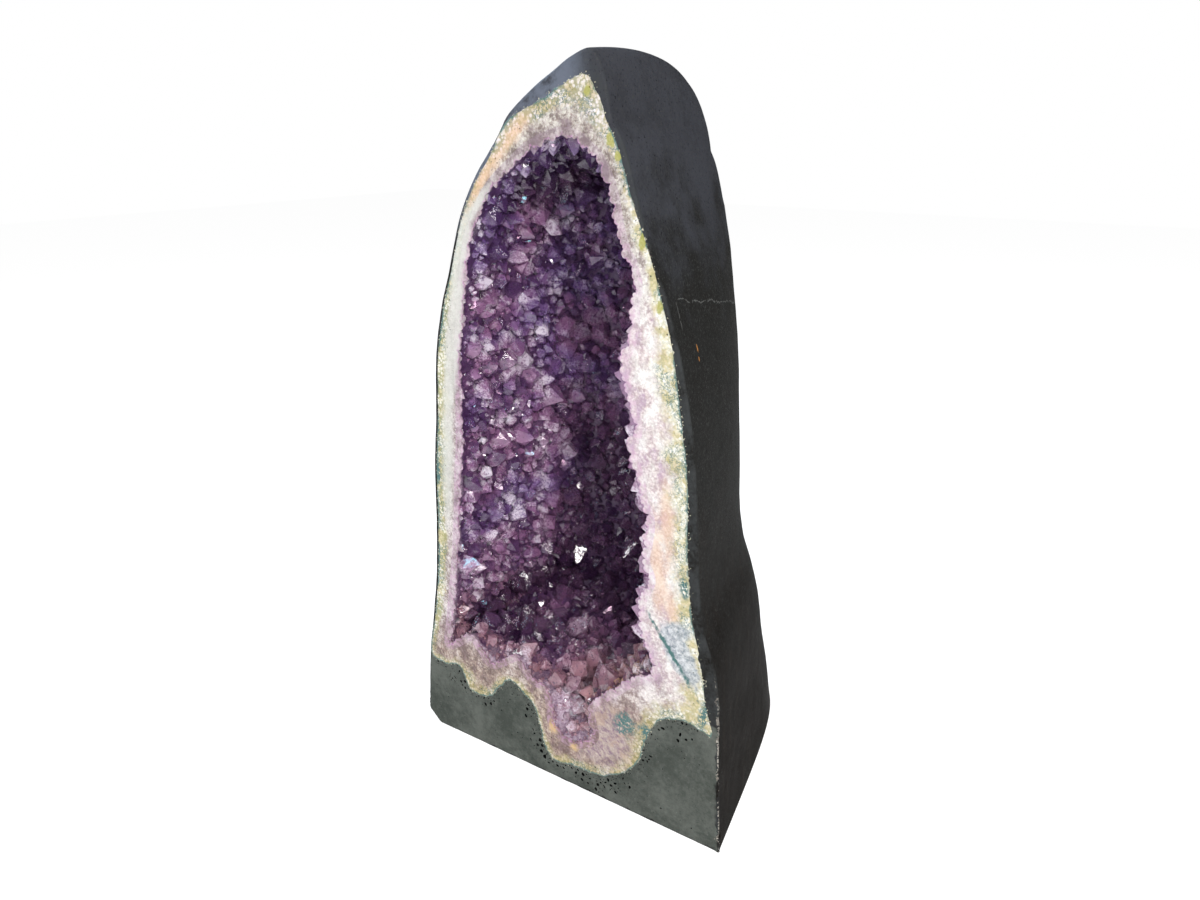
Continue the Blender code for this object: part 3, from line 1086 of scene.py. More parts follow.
    def mossy(self, recipe: Recipe, colour: Value, share: Value, outside: Value) -> Value:
        """Lay the speckled outer band: cream ground, yellow-green moss and dark teal grains.

        Args:
            recipe: The material's recipe.
            colour: The colour of the rest of the rim.
            share: How far the place lies from the rock towards the hollow.
            outside: Its distance from the rock.

        Returns:
            The colour with the band on it.
        """
        low = recipe.eased(recipe.axis("Z"), 0.14, 0.10)
        grains = recipe.cloud(0.0034, 3.0, 0.75)
        blobs = recipe.cloud(0.012, 3.0, 0.65)
        bubbles = recipe.grains(0.0027)
        right = recipe.eased(recipe.axis("X"), 0.03, 0.08) * (1 - low)
        band = recipe.eased(share + 0.20 * low + 0.08 * right, 0.60, 0.28)
        ground = recipe.mix(recipe.eased(grains, 0.38, 0.62), self.cream, self.white)
        ground = recipe.mix(recipe.eased(blobs, 0.44, 0.58) * 0.75, ground, self.honey)
        between = recipe.eased(bubbles + (grains - 0.5) * 0.6, 0.40, 0.64)
        ground = recipe.mix(between * (0.75 - 0.40 * right), ground, self.moss)
        ground = recipe.mix(recipe.eased(blobs, 0.60, 0.68) * 0.4, ground, self.moss)
        patches = recipe.cloud(0.026, 2.0, 0.5)
        specks = recipe.eased(recipe.threads(0.0050, 3.0, 0.7), 0.045, 0.012)
        specks = specks * recipe.eased(patches, 0.46, 0.58)
        ground = recipe.mix(specks * 0.75, ground, self.teal)
        ground = recipe.mix(low * 0.8, ground, self.moss_low, "MULTIPLY")
        high = recipe.eased(recipe.axis("Z"), 0.52, 0.58)
        ground = recipe.mix(high, ground, self.moss_high, "MULTIPLY")
        colour = recipe.mix(band, colour, ground)
        seam = recipe.eased(outside + (grains - 0.5) * 0.005, 0.0022, 0.0004)
        seam = seam * recipe.eased(patches + 0.15 * low, 0.42, 0.54)
        return recipe.mix(seam * 0.85, colour, self.teal)

    def marked(self, recipe: Recipe, colour: Value) -> Value:
        """Lay the marks that stand out one by one on the rim.

        Args:
            recipe: The material's recipe.
            colour: The colour under them.

        Returns:
            The colour with the marks on it.
        """
        colour = recipe.painted(self.olive_marks, 0.9, 0.85, colour, self.olive)
        colour = self.druzy(recipe, colour)
        lens = recipe.maths("MAXIMUM", recipe.blot(self.lens_body, 0.45), recipe.blot(self.lens_head, 0.5))
        veined = recipe.eased(recipe.cloud(0.005, 5.0, 0.8, 0.4), 0.36, 0.64)
        grey = recipe.mix(veined, self.lens_dark, self.lens_pale)
        colour = recipe.mix(lens * 0.9, colour, grey)
        colour = recipe.mix(recipe.blot(self.lens_edge, 1.8), colour, self.teal)
        threads = recipe.eased(recipe.threads(0.0050, 3.0, 0.7), 0.11, 0.04)
        colour = recipe.painted(self.teal_marks, 0.8, threads, colour, self.teal)
        return self.stained(recipe, colour)

    def stained(self, recipe: Recipe, colour: Value) -> Value:
        """The amber spots beside the tongue of crystals."""
        return recipe.painted(self.amber_marks, 0.9, 0.75, colour, self.amber)

    def druzy(self, recipe: Recipe, colour: Value) -> Value:
        """Lay the dusky lilac quartz between the rim and the tongue of crystals at its foot.

        Args:
            recipe: The material's recipe.
            colour: The colour under it.

        Returns:
            The colour with the patch on it.
        """
        patch = recipe.blot(self.druse_patch, 0.8)
        streaks = recipe.cloud(0.0060, 5.0, 0.8, 0.8, on=recipe.stretched((0.75, 1, 1.2), turn=0.6))
        broad = recipe.cloud(0.016, 2.0, 0.5)
        stones = recipe.mix(recipe.eased(streaks, 0.38, 0.62), self.druse_dark, self.druse_pale)
        stones = recipe.mix(recipe.eased(broad, 0.50, 0.60) * 0.6, stones, self.druse_tan)
        return recipe.mix(patch * 0.75, colour, stones)


@dataclass(frozen=True)
class AmethystFinish:
    """Amethyst quartz in violet, mauve and milky tones, darkened with painted shade at the points' roots and
    in the hollow's recesses.
    """

    # Near-black violet used as painted shade: at the points' roots between them, in the hollow's recesses and
    # on the crust.
    gap: Colour = (0.040, 0.013, 0.050)
    violet: Colour = (0.300, 0.160, 0.440)
    mauve: Colour = (0.520, 0.240, 0.470)
    deep: Colour = (0.110, 0.045, 0.160)
    milky: Colour = (0.720, 0.640, 0.730)
    pink: Colour = (0.560, 0.350, 0.480)
    orchid: Colour = (0.440, 0.210, 0.400)
    warm: Colour = (0.670, 0.355, 0.360)
    golden_tone_and_glint: Colour = (0.700, 0.420, 0.220)
    absorbed: Colour = (0.60, 0.34, 0.78)
    clarity: float = 0.55
    ior: float = 1.544
    density: float = 14.0

    def wisps(self, recipe: Recipe) -> Value:
        """The fine veils inside the quartz, about 0.5."""
        veils = recipe.cloud(0.0050, 4.0, 0.75, 0.6)
        return 0.45 * veils + 0.55 * recipe.cloud(0.0020, 4.0, 0.8, 1.0)

    def milkiness(self, recipe: Recipe, tint: Number, wisps: Value, clumps: Value) -> Value:
        """How milky the quartz is: whole points, and veils in the others."""
        return recipe.eased(0.50 * tint + (clumps - 0.5) * 1.9 + (wisps - 0.5) * 2.4, 0.30, 0.80)

    def colour(self, recipe: Recipe, growth: Number, tint: Number) -> tuple[Value, Value]:
        """The colour of the quartz at a place, between its root, darkened with painted shade, and its tip.

        Args:
            recipe: The material's recipe.
            growth: How far up its point it lies.
            tint: The point's own draw.

        Returns:
            The colour, and how milky it is there.
        """
        patches = recipe.cloud(0.055, 2.0, 0.5)
        clumps = recipe.cloud(0.024, 2.0, 0.5)
        wisps = self.wisps(recipe)
        recess_shade = recipe.read("recess_shade")
        floor = recipe.read("floor")
        lower = (0.40 - recipe.axis("Z")) * 0.5
        body = recipe.mix(recipe.eased(patches + lower, 0.38, 0.60), self.violet, self.mauve)
        body = recipe.mix(recipe.eased(tint + (clumps - 0.5) * 1.6, 0.50, 0.10) * 0.8, body, self.deep)
        body = recipe.mix(floor * (0.55 + 0.35 * tint), body, self.warm)
        # Golden-brown crystals on the right of the floor, with painted golden glints.
        right = recipe.eased(recipe.axis("X"), 0.02, 0.07)
        body = recipe.mix(floor * right * recipe.eased(tint, 0.35, 0.65) * 0.9, body, self.golden_tone_and_glint)
        body = recipe.mix(recipe.read("jagged") * 0.75, body, self.orchid)
        # Fewer milky points in the recesses, as part of their painted shade.
        milky = self.milkiness(recipe, tint, wisps, clumps) * (0.95 - 0.85 * recess_shade)
        body = recipe.mix(milky, body, self.milky)
        body = recipe.mix(recipe.eased(wisps, 0.49, 0.38) * 0.8, body, self.deep)
        # Painted shade: each point darkens to the gap colour towards its root, where the points crowd each
        # other.
        rise = recipe.eased(growth + (wisps - 0.5) * 0.8, 0.14, 0.60)
        body = recipe.mix(rise, self.gap, body)
        # Painted shade in the hollow's recesses: the back, the crevice over the floor and the roof.
        shaded = recipe.eased(recess_shade + (patches - 0.5) * 0.5, 0.15, 0.95)
        body = recipe.mix(shaded * 0.75, body, self.gap)
        lip = recipe.read("lip") + (clumps - 0.5) * 1.2 + (wisps - 0.5) * 0.9
        edge = recipe.mix(recipe.eased(wisps, 0.42, 0.58), self.pink, self.milky)
        body = recipe.mix(recipe.eased(lip, 0.45, 1.1) * (0.7 - 0.55 * recipe.read("jagged")), body, edge)
        return body, milky * rise

    def clear(self, rim: "AgateFinish") -> Material:
        """Mix the see-through points, milky in places.

        Args:
            rim: The rim's finish, whose colours their sawn faces have.

        Returns:
            The points' material.
        """
        material, recipe = new_recipe("amethyst points")
        colour, milky = self.colour(recipe, recipe.read("growth"), recipe.read("tint"))
        behind = recipe.axis("Y") - FRONT_Y
        sawn = recipe.eased(behind + (recipe.cloud(0.0045, 4.0, 0.75) - 0.5) * 0.004, 0.0026, 0.0010)
        sawn = sawn * (1 - 0.8 * recipe.read("jagged"))
        colour = recipe.mix(sawn * 0.9, colour, self.sawn_face(recipe, rim))
        rough = 0.05 + 0.30 * sawn + 0.13 * recipe.eased(recipe.cloud(0.010, 3.0, 0.6), 0.40, 0.75)
        etched = recipe.bump(recipe.cloud(0.0030, 3.0, 0.7), 0.0006, 0.55)
        absorb = recipe.node(
            "ShaderNodeVolumeAbsorption", sockets={"Color": self.absorbed, "Density": self.density}
        )
        cover = {"Base Color": colour, "Roughness": rough, "Normal": etched}
        glassy = recipe.eased(recipe.cloud(0.0042, 2.0, 0.6), 0.45, 0.54)
        cover |= {"Coat Weight": glassy * 0.9, "Coat Roughness": 0.03}
        shader = cover | {"Transmission Weight": self.clarity, "IOR": self.ior}
        opaque = recipe.maths("MAXIMUM", milky * 0.75, sawn * 0.8)
        recipe.finish(shader, absorb, opaque, cover)
        return material

    def sawn_face(self, recipe: Recipe, rim: "AgateFinish") -> Value:
        """Colour the quartz where the saw went through it: as the rim, with violet in places.

        Args:
            recipe: The material's recipe.
            rim: The rim's finish.

        Returns:
            The colour.
        """
        face = rim.granular(recipe, 0.95)
        patches = recipe.eased(recipe.cloud(0.007, 4.0, 0.7), 0.46, 0.60)
        patches = patches * recipe.eased(recipe.axis("Z"), 0.58, 0.50)
        face = recipe.mix(patches * 0.5, face, self.pink)
        return rim.stained(recipe, rim.white_band(recipe, face))

    def crust(self, rim: "AgateFinish") -> Material:
        """Mix the opaque quartz that the points stand on.

        Args:
            rim: The rim's finish, whose colours its sawn edge has.

        Returns:
            The crust's material.
        """
        material, recipe = new_recipe("amethyst crust")
        # At a low growth the crust takes the points' dark root colour: painted shade between the points.
        colour, _ = self.colour(recipe, 0.25, 0.35)
        pale = self.sawn_face(recipe, rim)
        inward = recipe.read("inward") + (recipe.cloud(0.004, 4.0, 0.75) - 0.5) * 1.6
        pale = recipe.mix(recipe.eased(inward, 0.70, 1.15) * 0.7, pale, self.orchid)
        colour = recipe.mix(recipe.eased(recipe.read("sawn"), 0.3, 0.7), colour, pale)
        recipe.finish({"Base Color": colour, "Roughness": 0.35, "Normal": recipe.knobbly()})
        return material


@dataclass
class Rim:
    """The lines that the three pieces share on the sawn front."""

    face_step: float = 0.0042
    contact_step: float = 0.0016
    mouth_step: float = 0.0015
    crust_edge: float = 0.005
    bottom_step: float = 0.004
    contact_wander: float = 0.0016
    lobes: tuple[tuple[int, int, float], ...] = ((6, 12, 0.32), (3, 5, 0.36))
    seed: int = 7

    def __post_init__(self) -> None:
        """Work the lines out once."""
        self.face = self.face_line()
        self.outline = self.closed_face()
        self.contact = self.contact_line()
        self.mouth = smooth_curve(in_metres(MOUTH_OUTLINE), self.mouth_step, closed=True)
        self.teeth = self.toothed_line()
        self.crust_line = self.crust_outer_line()

    def face_line(self) -> Array:
        """The sawn front's outline from its right foot over the top to its left foot.

        Returns:
            Its points. Below the shoulder both sides have them at the same heights, so they meet on
            the back.
        """
        outline = smooth_curve(in_metres(FACE_OUTLINE), self.face_step / 3, closed=False)
        top = int(outline[:, 1].argmax())
        first_rows = [0, 0.0003, 0.0008, 0.0016, 0.003]
        rows = np.concatenate([first_rows, np.linspace(0.006, BasaltBody.shoulder, 126)])
        sides = []
        for side in (outline[: top + 1], outline[top:][::-1]):
            low = np.stack([np.interp(rows, side[:, 1], side[:, 0]), rows], axis=1)
            high = side[side[:, 1] > BasaltBody.shoulder + 0.002]
            sides.append(np.vstack([low, high[::3], high[-1:]] if len(high) % 3 != 1 else [low, high[::3]]))
        right, left = sides
        return np.vstack([right, left[-2::-1]])

    def closed_face(self) -> Array:
        """The whole outline of the front: the face line and its bottom edge from left to right."""
        count = round((self.face[0, 0] - self.face[-1, 0]) / self.bottom_step)
        return np.vstack([self.face, np.linspace(self.face[-1], self.face[0], count + 1)[1:-1]])

    def contact_line(self) -> Array:
        """Where rind and rock meet, wandering as a grown contact does.

        Returns:
            The line's points, none of them out past the rind's outline.
        """
        line = smooth_curve(in_metres(RIND_OUTLINE), self.contact_step, closed=True)
        room = distances_to(line, smooth_curve(in_metres(FACE_OUTLINE), 0.001, closed=False))
        reach = np.minimum(self.contact_wander, room * 0.12)
        wander = front_noise(line, 0.011, self.seed) + 0.7 * front_noise(line, 0.0042, self.seed)
        return line - outward_normals(line) * (reach * (0.9 + wander))[:, None]

    def toothed_line(self) -> Array:
        """The mouth's edge where the saw cut through the crystals: small lobes on large ones.

        Returns:
            The line's points. In tight corners the lobes are taken back, so it doesn't cross itself.
        """
        chance = random.Random(self.seed)
        reach = np.full(len(self.mouth), -0.0006)
        for narrowest, widest, steepest in self.lobes:
            start = 0
            while start < len(reach):
                width = chance.randint(narrowest, widest)
                height = width * self.mouth_step * chance.uniform(0.4, 1.0) * steepest
                for index in range(start, min(start + width, len(reach))):
                    reach[index] += height * math.sin(math.pi * (index - start) / width) ** 0.7
                start += width
        normals = outward_normals(self.mouth)
        room = distances_to(self.mouth - normals * reach[:, None], self.mouth)
        reach = np.where(room < 0.93 * reach, 0.45 * room, reach)
        return self.mouth - normals * reach[:, None]

    def crust_outer_line(self) -> Array:
        """The mouth grown by the crust's sawn edge, without the loops that tight corners would make."""
        grown = self.mouth + outward_normals(self.mouth) * self.crust_edge
        return grown[distances_to(grown, self.mouth) > self.crust_edge * 0.985]


@dataclass
class Hollow:
    """The bag that the crystals line: every side curves in to an upright line behind the face."""

    depth: float = 0.145
    taper: float = 0.21
    spine_x: float = -0.005
    spine_low: float = 0.20
    spine_high: float = 0.50
    wall_roundness: float = 2.6
    floor_roundness: float = 5.0
    floor_top: float = 0.21
    floor_blend: float = 0.08
    lumps: float = 0.0055
    lump_size: float = 0.042
    tongue_top: float = 0.125
    tongue_fill: float = 0.014
    lip_depth: float = 0.012
    stunted_depth: float = 0.016

    def keep(self, up: Array, share: float) -> Array:
        """How much of its width the bag keeps as it gets deeper. Its floor stays flat longest.

        Args:
            up: The heights to ask for.
            share: The share of the depth.

        Returns:
            The shares of the width.
        """
        floor = smooth_step((self.floor_top - up) / self.floor_blend)
        roundness = blend(self.wall_roundness, self.floor_roundness, floor)
        return (1 - self.taper * share) * (1 - share**roundness) ** (1 / roundness)

    def ring(self, edge: Array, share: float) -> Array:
        """One ring of the smooth bag.

        Args:
            edge: The bag's edge on the front.
            share: The share of its depth.

        Returns:
            One point for each of the edge's.
        """
        heights = np.clip(edge[:, 1], self.spine_low, self.spine_high)
        spine = np.stack([np.full(len(edge), self.spine_x), heights], axis=1)
        flat = spine + (edge - spine) * self.keep(edge[:, 1], share)[:, None]
        return behind_front(flat, self.depth * share)

    def close(self, shell: Shell, edge: Array, line: Array, **values: float) -> None:
        """Shut a shell with this bag, behind the numbers of an edge's points and its line in front."""
        shell.join([edge, *(shell.add(self.ring(line, share), **values) for share in BAG_SHARES)])

    def shares(self, count: int) -> Array:
        """Space rings evenly along the wall.

        Args:
            count: How many rings there are.

        Returns:
            Their shares of the depth.
        """
        fine = np.linspace(0, 1, 2000)
        width = np.array([self.keep(np.array([0.35]), share)[0] for share in fine]) * 0.11
        steps = np.hypot(np.diff(width), np.diff(fine * self.depth))
        along = np.concatenate([[0], np.cumsum(steps)])
        return np.interp(np.linspace(0, along[-1], count + 1)[:-1], along, fine)

    def wall(self, edge: Array, count: int) -> Array:
        """The lumpy wall as rings of points.

        Args:
            edge: The mouth's edge on the sawn front.
            count: How many rings there are, from the mouth to just short of the deepest line.

        Returns:
            An array of rings, points and coordinates.
        """
        shares = self.shares(count)
        rings = np.stack([self.ring(edge, share) for share in shares])
        deeper = np.gradient(rings, axis=0)
        around = (np.roll(rings, -1, axis=1) - np.roll(rings, 1, axis=1)) / 2
        inward = np.cross(deeper, around)
        inward /= np.maximum(np.linalg.norm(inward, axis=2, keepdims=True), 1e-12)
        middle = np.array([self.spine_x, FRONT_Y + 0.03, (self.spine_low + self.spine_high) / 2])
        inward *= np.sign(((middle - rings) * inward).sum(axis=2).mean())
        for row, share in enumerate(shares):
            ease = smooth_step(share / 0.12) * smooth_step((1 - share) / 0.015)
            for column in range(len(edge)):
                spot = Vector(rings[row, column])
                swell = noise.noise(spot / self.lump_size) + 0.5 * noise.noise(spot / (self.lump_size / 2.2))
                filling = self.tongue_fill * smooth_step((self.tongue_top - spot.z) / 0.035)
                rings[row, column] += inward[row, column] * ((swell * self.lumps + filling) * ease)
        return rings

    def zones(self, points: Array) -> dict[str, Array]:
        """How far each point belongs to each zone of the hollow.

        Args:
            points: Places on the wall.

        Returns:
            The shares from 0 to 1 by name, as the finish reads them.
        """
        x, y, z = points.T
        # The deep, crevice and roof masks mark where painted shade darkens the points: the back of the
        # hollow, more so lower down, the crevice where the floor meets the wall, and the roof.
        deep = smooth_step((y + 0.055) / 0.050) * (0.40 + 0.40 * smooth_step((0.38 - z) / 0.10))
        left = smooth_step((0.01 - x) / 0.03)
        crevice = 0.130 + 0.24 * (y + 0.094)
        crevice_shade = smooth_step((y + 0.105 + 0.028 * left) / (0.050 - 0.020 * left))
        crevice_shade *= smooth_step(1.1 - np.abs(z - crevice) / (0.040 - 0.010 * left))
        roof_shade = smooth_step((z - 0.520) / 0.045) * smooth_step((y + 0.133) / 0.02)
        tongue = smooth_step((self.tongue_top - z) / 0.035)
        right = smooth_step((x - 0.045) / 0.02) * smooth_step((0.47 - z) / 0.03)
        right *= smooth_step((z - 0.15) / 0.03)
        upper_left = smooth_step((-0.045 - x) / 0.02) * smooth_step((z - 0.30) / 0.06)
        lip = np.clip(1 - (y - FRONT_Y) / self.lip_depth, 0, 1) * (1 - 0.75 * upper_left)
        jagged = right * smooth_step((FRONT_Y + self.stunted_depth - y) / 0.004)
        return {
            "stunted": np.clip(1 - (y - FRONT_Y) / self.stunted_depth, 0, 1) * (1 - 0.85 * jagged),
            "jagged": jagged,
            "lip": np.maximum(lip, tongue * 0.75),
            "floor": smooth_step((0.172 - z) / 0.035) * smooth_step((-0.035 - y) / 0.045) * (1 - crevice_shade),
            "recess_shade": np.maximum(np.maximum(deep, crevice_shade), roof_shade * 0.9) * (1 - tongue),
        }


@dataclass
class Chip:
    """A flat break on the body's edge: what stands past its plane is taken down to it."""

    place: Triple
    facing: Triple
    reach: float

    def cut(self, points: Array) -> Array:
        """Take the points down to the break.

        Args:
            points: The surface's points, changed in place.

        Returns:
            How much each point was chipped, from 0 to 1.
        """
        facing = np.array(self.facing) / np.linalg.norm(self.facing)
        offset = points - np.array(self.place)
        rough = np.array([noise.noise(Vector(point) / 0.004) for point in points]) * 0.0004
        past = offset @ facing + rough
        hit = (past > 0) & (np.linalg.norm(offset, axis=1) < self.reach)
        points[hit] -= facing * past[hit][:, None]
        return hit.astype(float)


@dataclass
class BasaltBody:
    """The rock round and behind the hollow, sawn flat in front and underneath."""

    rim: Rim
    finish: BasaltFinish
    foot_height: float = 0.25
    side_taper: float = 0.333
    foot_taper: float = 0.294
    side_roundness: float = 4.07
    foot_roundness: float = 5.56
    shoulder = 0.536
    vault_rise: float = 0.167
    vault_roundness: float = 2.3
    lump_height: float = 0.003
    lump_spacing: float = 0.085
    swell: float = 0.0015
    arris: float = 0.0017
    shoulder_wear: float = 0.0065
    worn_steps: tuple[float, ...] = (0.08, 0.28, 0.6, 1.0)
    rows: int = 70
    room_depth: float = 0.168
    room_taper: float = 0.26
    dressed_above: float = 0.130
    spacing: float = 0.006
    chip_spacing: float = 0.0013
    set_pits: tuple[Triple, ...] = (
        (0.132, 0.1085, 0.0027), (0.138, 0.1055, 0.0017), (0.130, 0.1015, 0.0021),
        (0.144, 0.1085, 0.0016), (-0.018, 0.018, 0.0030), (-0.022, 0.023, 0.0024),
        (-0.013, 0.013, 0.0021), (-0.0385, 0.066, 0.0022),
    )
    pit_clusters: int = 64
    near_pits: int = 420
    far_pits: int = 110
    pitted_below: float = 0.128
    pitted_across: float = 0.158
    under_tongue: float = 0.048
    seed: int = 3
    chips: tuple[Chip, ...] = (
        Chip((-0.1655, -0.1385, 0.006), (-1.0, -0.35, -1.1), 0.030),
        Chip((0.1631, -0.1393, 0.174), (1.0, -0.9, 0.25), 0.006),
        Chip((0.1648, -0.1394, 0.158), (1.0, -0.7, -0.3), 0.004),
        Chip((0.1662, -0.1394, 0.136), (1.0, -0.8, 0.2), 0.005),
        Chip((0.1670, -0.1394, 0.119), (1.0, -0.8, -0.4), 0.004),
        Chip((0.1684, -0.1394, 0.079), (1.0, -0.9, 0.3), 0.004),
        Chip((0.1738, -0.1392, 0.020), (1.0, -0.7, -0.5), 0.007),
    )

    def lump(self, place: Array) -> float:
        """How far the weathered body stands out at a place."""
        broad = self.swell + self.lump_height * noise.noise(Vector(place) / self.lump_spacing)
        return broad + 0.0005 * noise.noise(Vector(place) / 0.016)

    def ring(self, line: Array, share: float, starts: Array) -> Array:
        """The body's ring a share of the way from the sawn face to its deepest line.

        Args:
            line: The face line.
            share: The share of the depth.
            starts: How far behind the face each of its points may start: the worn edge's radius.

        Returns:
            One point for each of the line's.
        """
        heights, depths = zip(*DEPTH_AT_HEIGHT)
        points = []
        for (across, up), start in zip(line, starts):
            foot = min(max(1 - up / self.foot_height, 0), 1)
            roundness = blend(self.side_roundness, self.foot_roundness, foot)
            taper = blend(self.side_taper, self.foot_taper, foot)
            x = across * (1 - taper * share) * (1 - share**roundness) ** (1 / roundness)
            z = up
            if up > self.shoulder:
                vault = 1 + self.vault_rise * share
                vault *= (1 - share**self.vault_roundness) ** (1 / self.vault_roundness)
                z = self.shoulder + (up - self.shoulder) * vault
            y = FRONT_Y + max(float(np.interp(up, heights, depths)) * share, start)
            ease = smooth_step(share / 0.2) * smooth_step(up / 0.05)
            standing = self.lump(np.array((x, y, z))) * ease
            points.append((x + math.copysign(1, across) * (1 - share) * standing, y + share * standing, z))
        return np.array(points)

    def shares(self) -> Array:
        """Space rings evenly along the body's side.

        Returns:
            Their shares of the depth.
        """
        fine = np.linspace(0, 1, 4000)
        width = 0.14 * (1 - self.side_taper * fine)
        width *= (1 - fine**self.side_roundness) ** (1 / self.side_roundness)
        along = np.concatenate([[0], np.cumsum(np.hypot(np.diff(width), np.diff(fine * 0.235)))])
        even = np.interp(np.linspace(0, along[-1], self.rows), along, fine)
        return np.concatenate([[0, 0.004], even[1:]])

    def pits(self) -> list[Pit]:
        """Scatter the bubble holes: most lie just under the rind, and a few elsewhere.

        Returns:
            The holes that have room.
        """
        chance = random.Random(self.seed)
        contact = self.rim.contact
        near_foot = (contact[:, 1] < self.pitted_below) & (np.abs(contact[:, 0]) < self.pitted_across)
        low, outward = contact[near_foot], outward_normals(contact)[near_foot]
        wanted = list(self.set_pits)
        under = np.flatnonzero(low[:, 1] < self.under_tongue)
        for number in range(self.pit_clusters):
            index = chance.choice(under) if number % 2 else chance.randrange(len(low))
            middle = low[index] + outward[index] * (0.0015 + chance.expovariate(1 / 0.0050))
            spread = chance.uniform(0.0020, 0.0060)
            for _ in range(chance.randint(4, 22)):
                spot = middle + np.array([chance.gauss(0, spread), chance.gauss(0, spread * 0.7)])
                power = 2 if number % 2 else 3
                wanted.append((*spot, 0.0004 + 0.0020 * chance.random() ** power))
        for _ in range(self.near_pits):
            index = chance.randrange(len(low))
            spot = low[index] + outward[index] * (0.0006 + chance.expovariate(1 / 0.0040))
            wanted.append((*spot, 0.0004 + 0.0005 * chance.random() ** 2))
        for _ in range(self.far_pits):
            spot = (chance.uniform(-0.165, 0.165), chance.uniform(0.004, 0.10))
            wanted.append((*spot, 0.0003 + 0.0008 * chance.random() ** 2))

        def allowed(points: Array) -> Array:
            """Measure the room round each place on the front.

            Args:
                points: The places.

            Returns:
                How far each is from a line, or a negative number off the stone.
            """
            face = self.rim.outline
            on_stone = inside(points, face) & ~inside(points, contact)
            off_edge = distances_to(points, face) - 0.0025
            return np.where(on_stone, np.minimum(distances_to(points, with_middles(contact)), off_edge), -1)

        return scattered_pits(wanted, allowed, self.seed)

    def build(self) -> Piece:
        """Make the rock.

        Returns:
            The dressed piece.
        """
        outer, contact = self.rim.outline, self.rim.contact
        radii = self.edge_radii(outer)
        inward = -outward_normals(outer)
        lines = [outer + inward * (radii * share)[:, None] for share in self.worn_steps]
        pits = self.pits()
        lines.append(np.array([pit.place for pit in pits]))
        rings = [ring for pit in pits for ring in pit.rings]
        sheet = Sheet(outer, contact, self.spacing, self.seed, rings, lines)
        near_chips = np.vstack([self.chip_grid(chip) for chip in self.chips])
        sheet.extra.append(sheet.keep_clear(near_chips, 0.0008))
        flat, faces = sheet.filled()
        depth, hole, dressed = self.front_relief(flat, pits, radii)
        by_rim = np.clip(1 - distances_to(flat, contact) / 0.004, 0, 1)
        shell = Shell()
        front = shell.add_front((flat, faces), depth, pit=hole, dressed=dressed, by_rim=by_rim)
        count = len(self.rim.face)
        self.add_sides(shell, front[:count], front[count: len(outer)], radii[:count])
        room = Hollow(depth=self.room_depth, taper=self.room_taper)
        room.close(shell, front[len(outer): len(outer) + len(contact)], contact)
        points = np.array(shell.points)
        chipped = sum(chip.cut(points) for chip in self.chips)
        shell.points = [tuple(point) for point in points]
        shell.values["chipped"] = list(np.clip(chipped, 0, 1))
        piece = shell.finished("basalt_rock")
        dress(piece, self.finish.material())
        hand_over(piece, Slot.BASALT, "basalt_body")
        return piece

    def chip_grid(self, chip: Chip) -> Array:
        """Lay fine points on the front round a chip, so that its break comes out crisp.

        Args:
            chip: The chip.

        Returns:
            The points, as (across, up).
        """
        steps = np.arange(-chip.reach, chip.reach, self.chip_spacing)
        across, up = np.meshgrid(steps, steps)
        grid = np.stack([across.ravel() + chip.place[0], up.ravel() + chip.place[2]], axis=1)
        return grid[np.hypot(across.ravel(), up.ravel()) < chip.reach]

    def edge_radii(self, outer: Array) -> Array:
        """How far the saw's edge is worn round at each point: most on the left shoulder.

        Args:
            outer: The front's outline.

        Returns:
            The radii in metres.
        """
        shoulder = smooth_step((0.03 - outer[:, 0]) / 0.03) * smooth_step((outer[:, 1] - 0.50) / 0.06)
        wear = front_noise(outer, 0.012, 9)
        radii = self.arris * (1 + 0.35 * wear) + (self.shoulder_wear - self.arris) * shoulder
        return np.clip(radii, 0.0008, 0.6 * distances_to(outer, self.rim.contact))

    def front_relief(self, flat: Array, pits: list[Pit], radii: Array) -> tuple[Array, Array, Array]:
        """How deep each point of the front lies, whether it is in a pit, and how far it is dressed.

        Args:
            flat: The sheet's points, in the order in which the sheet lays them out.
            pits: The bubble holes.
            radii: The worn edge's radius at each point of the outline.

        Returns:
            The depths in metres, the pit values and the dressing values.
        """
        outer = self.rim.outline
        depth, hole = np.zeros(len(flat)), np.zeros(len(flat))
        depth[: len(outer)] = radii
        start = sink_pits(pits, len(outer) + len(self.rim.contact), depth, hole)
        for share in self.worn_steps:
            left = 1 - share
            depth[start: start + len(outer)] = radii * (1 - math.sqrt(1 - left * left))
            start += len(outer)
        depth[start: start + len(pits)] = [pit.radius * 1.1 for pit in pits]
        hole[start: start + len(pits)] = 1
        away = distances_to(flat, outer)
        near_edge = np.clip((0.0016 - away) / 0.002 + 0.5 + front_noise(flat, 0.008, 5) * 0.6, 0, 1)
        above_foot = np.clip((flat[:, 1] - self.dressed_above) / 0.004 + 0.5, 0, 1)
        return depth, hole, np.maximum(near_edge, above_foot)

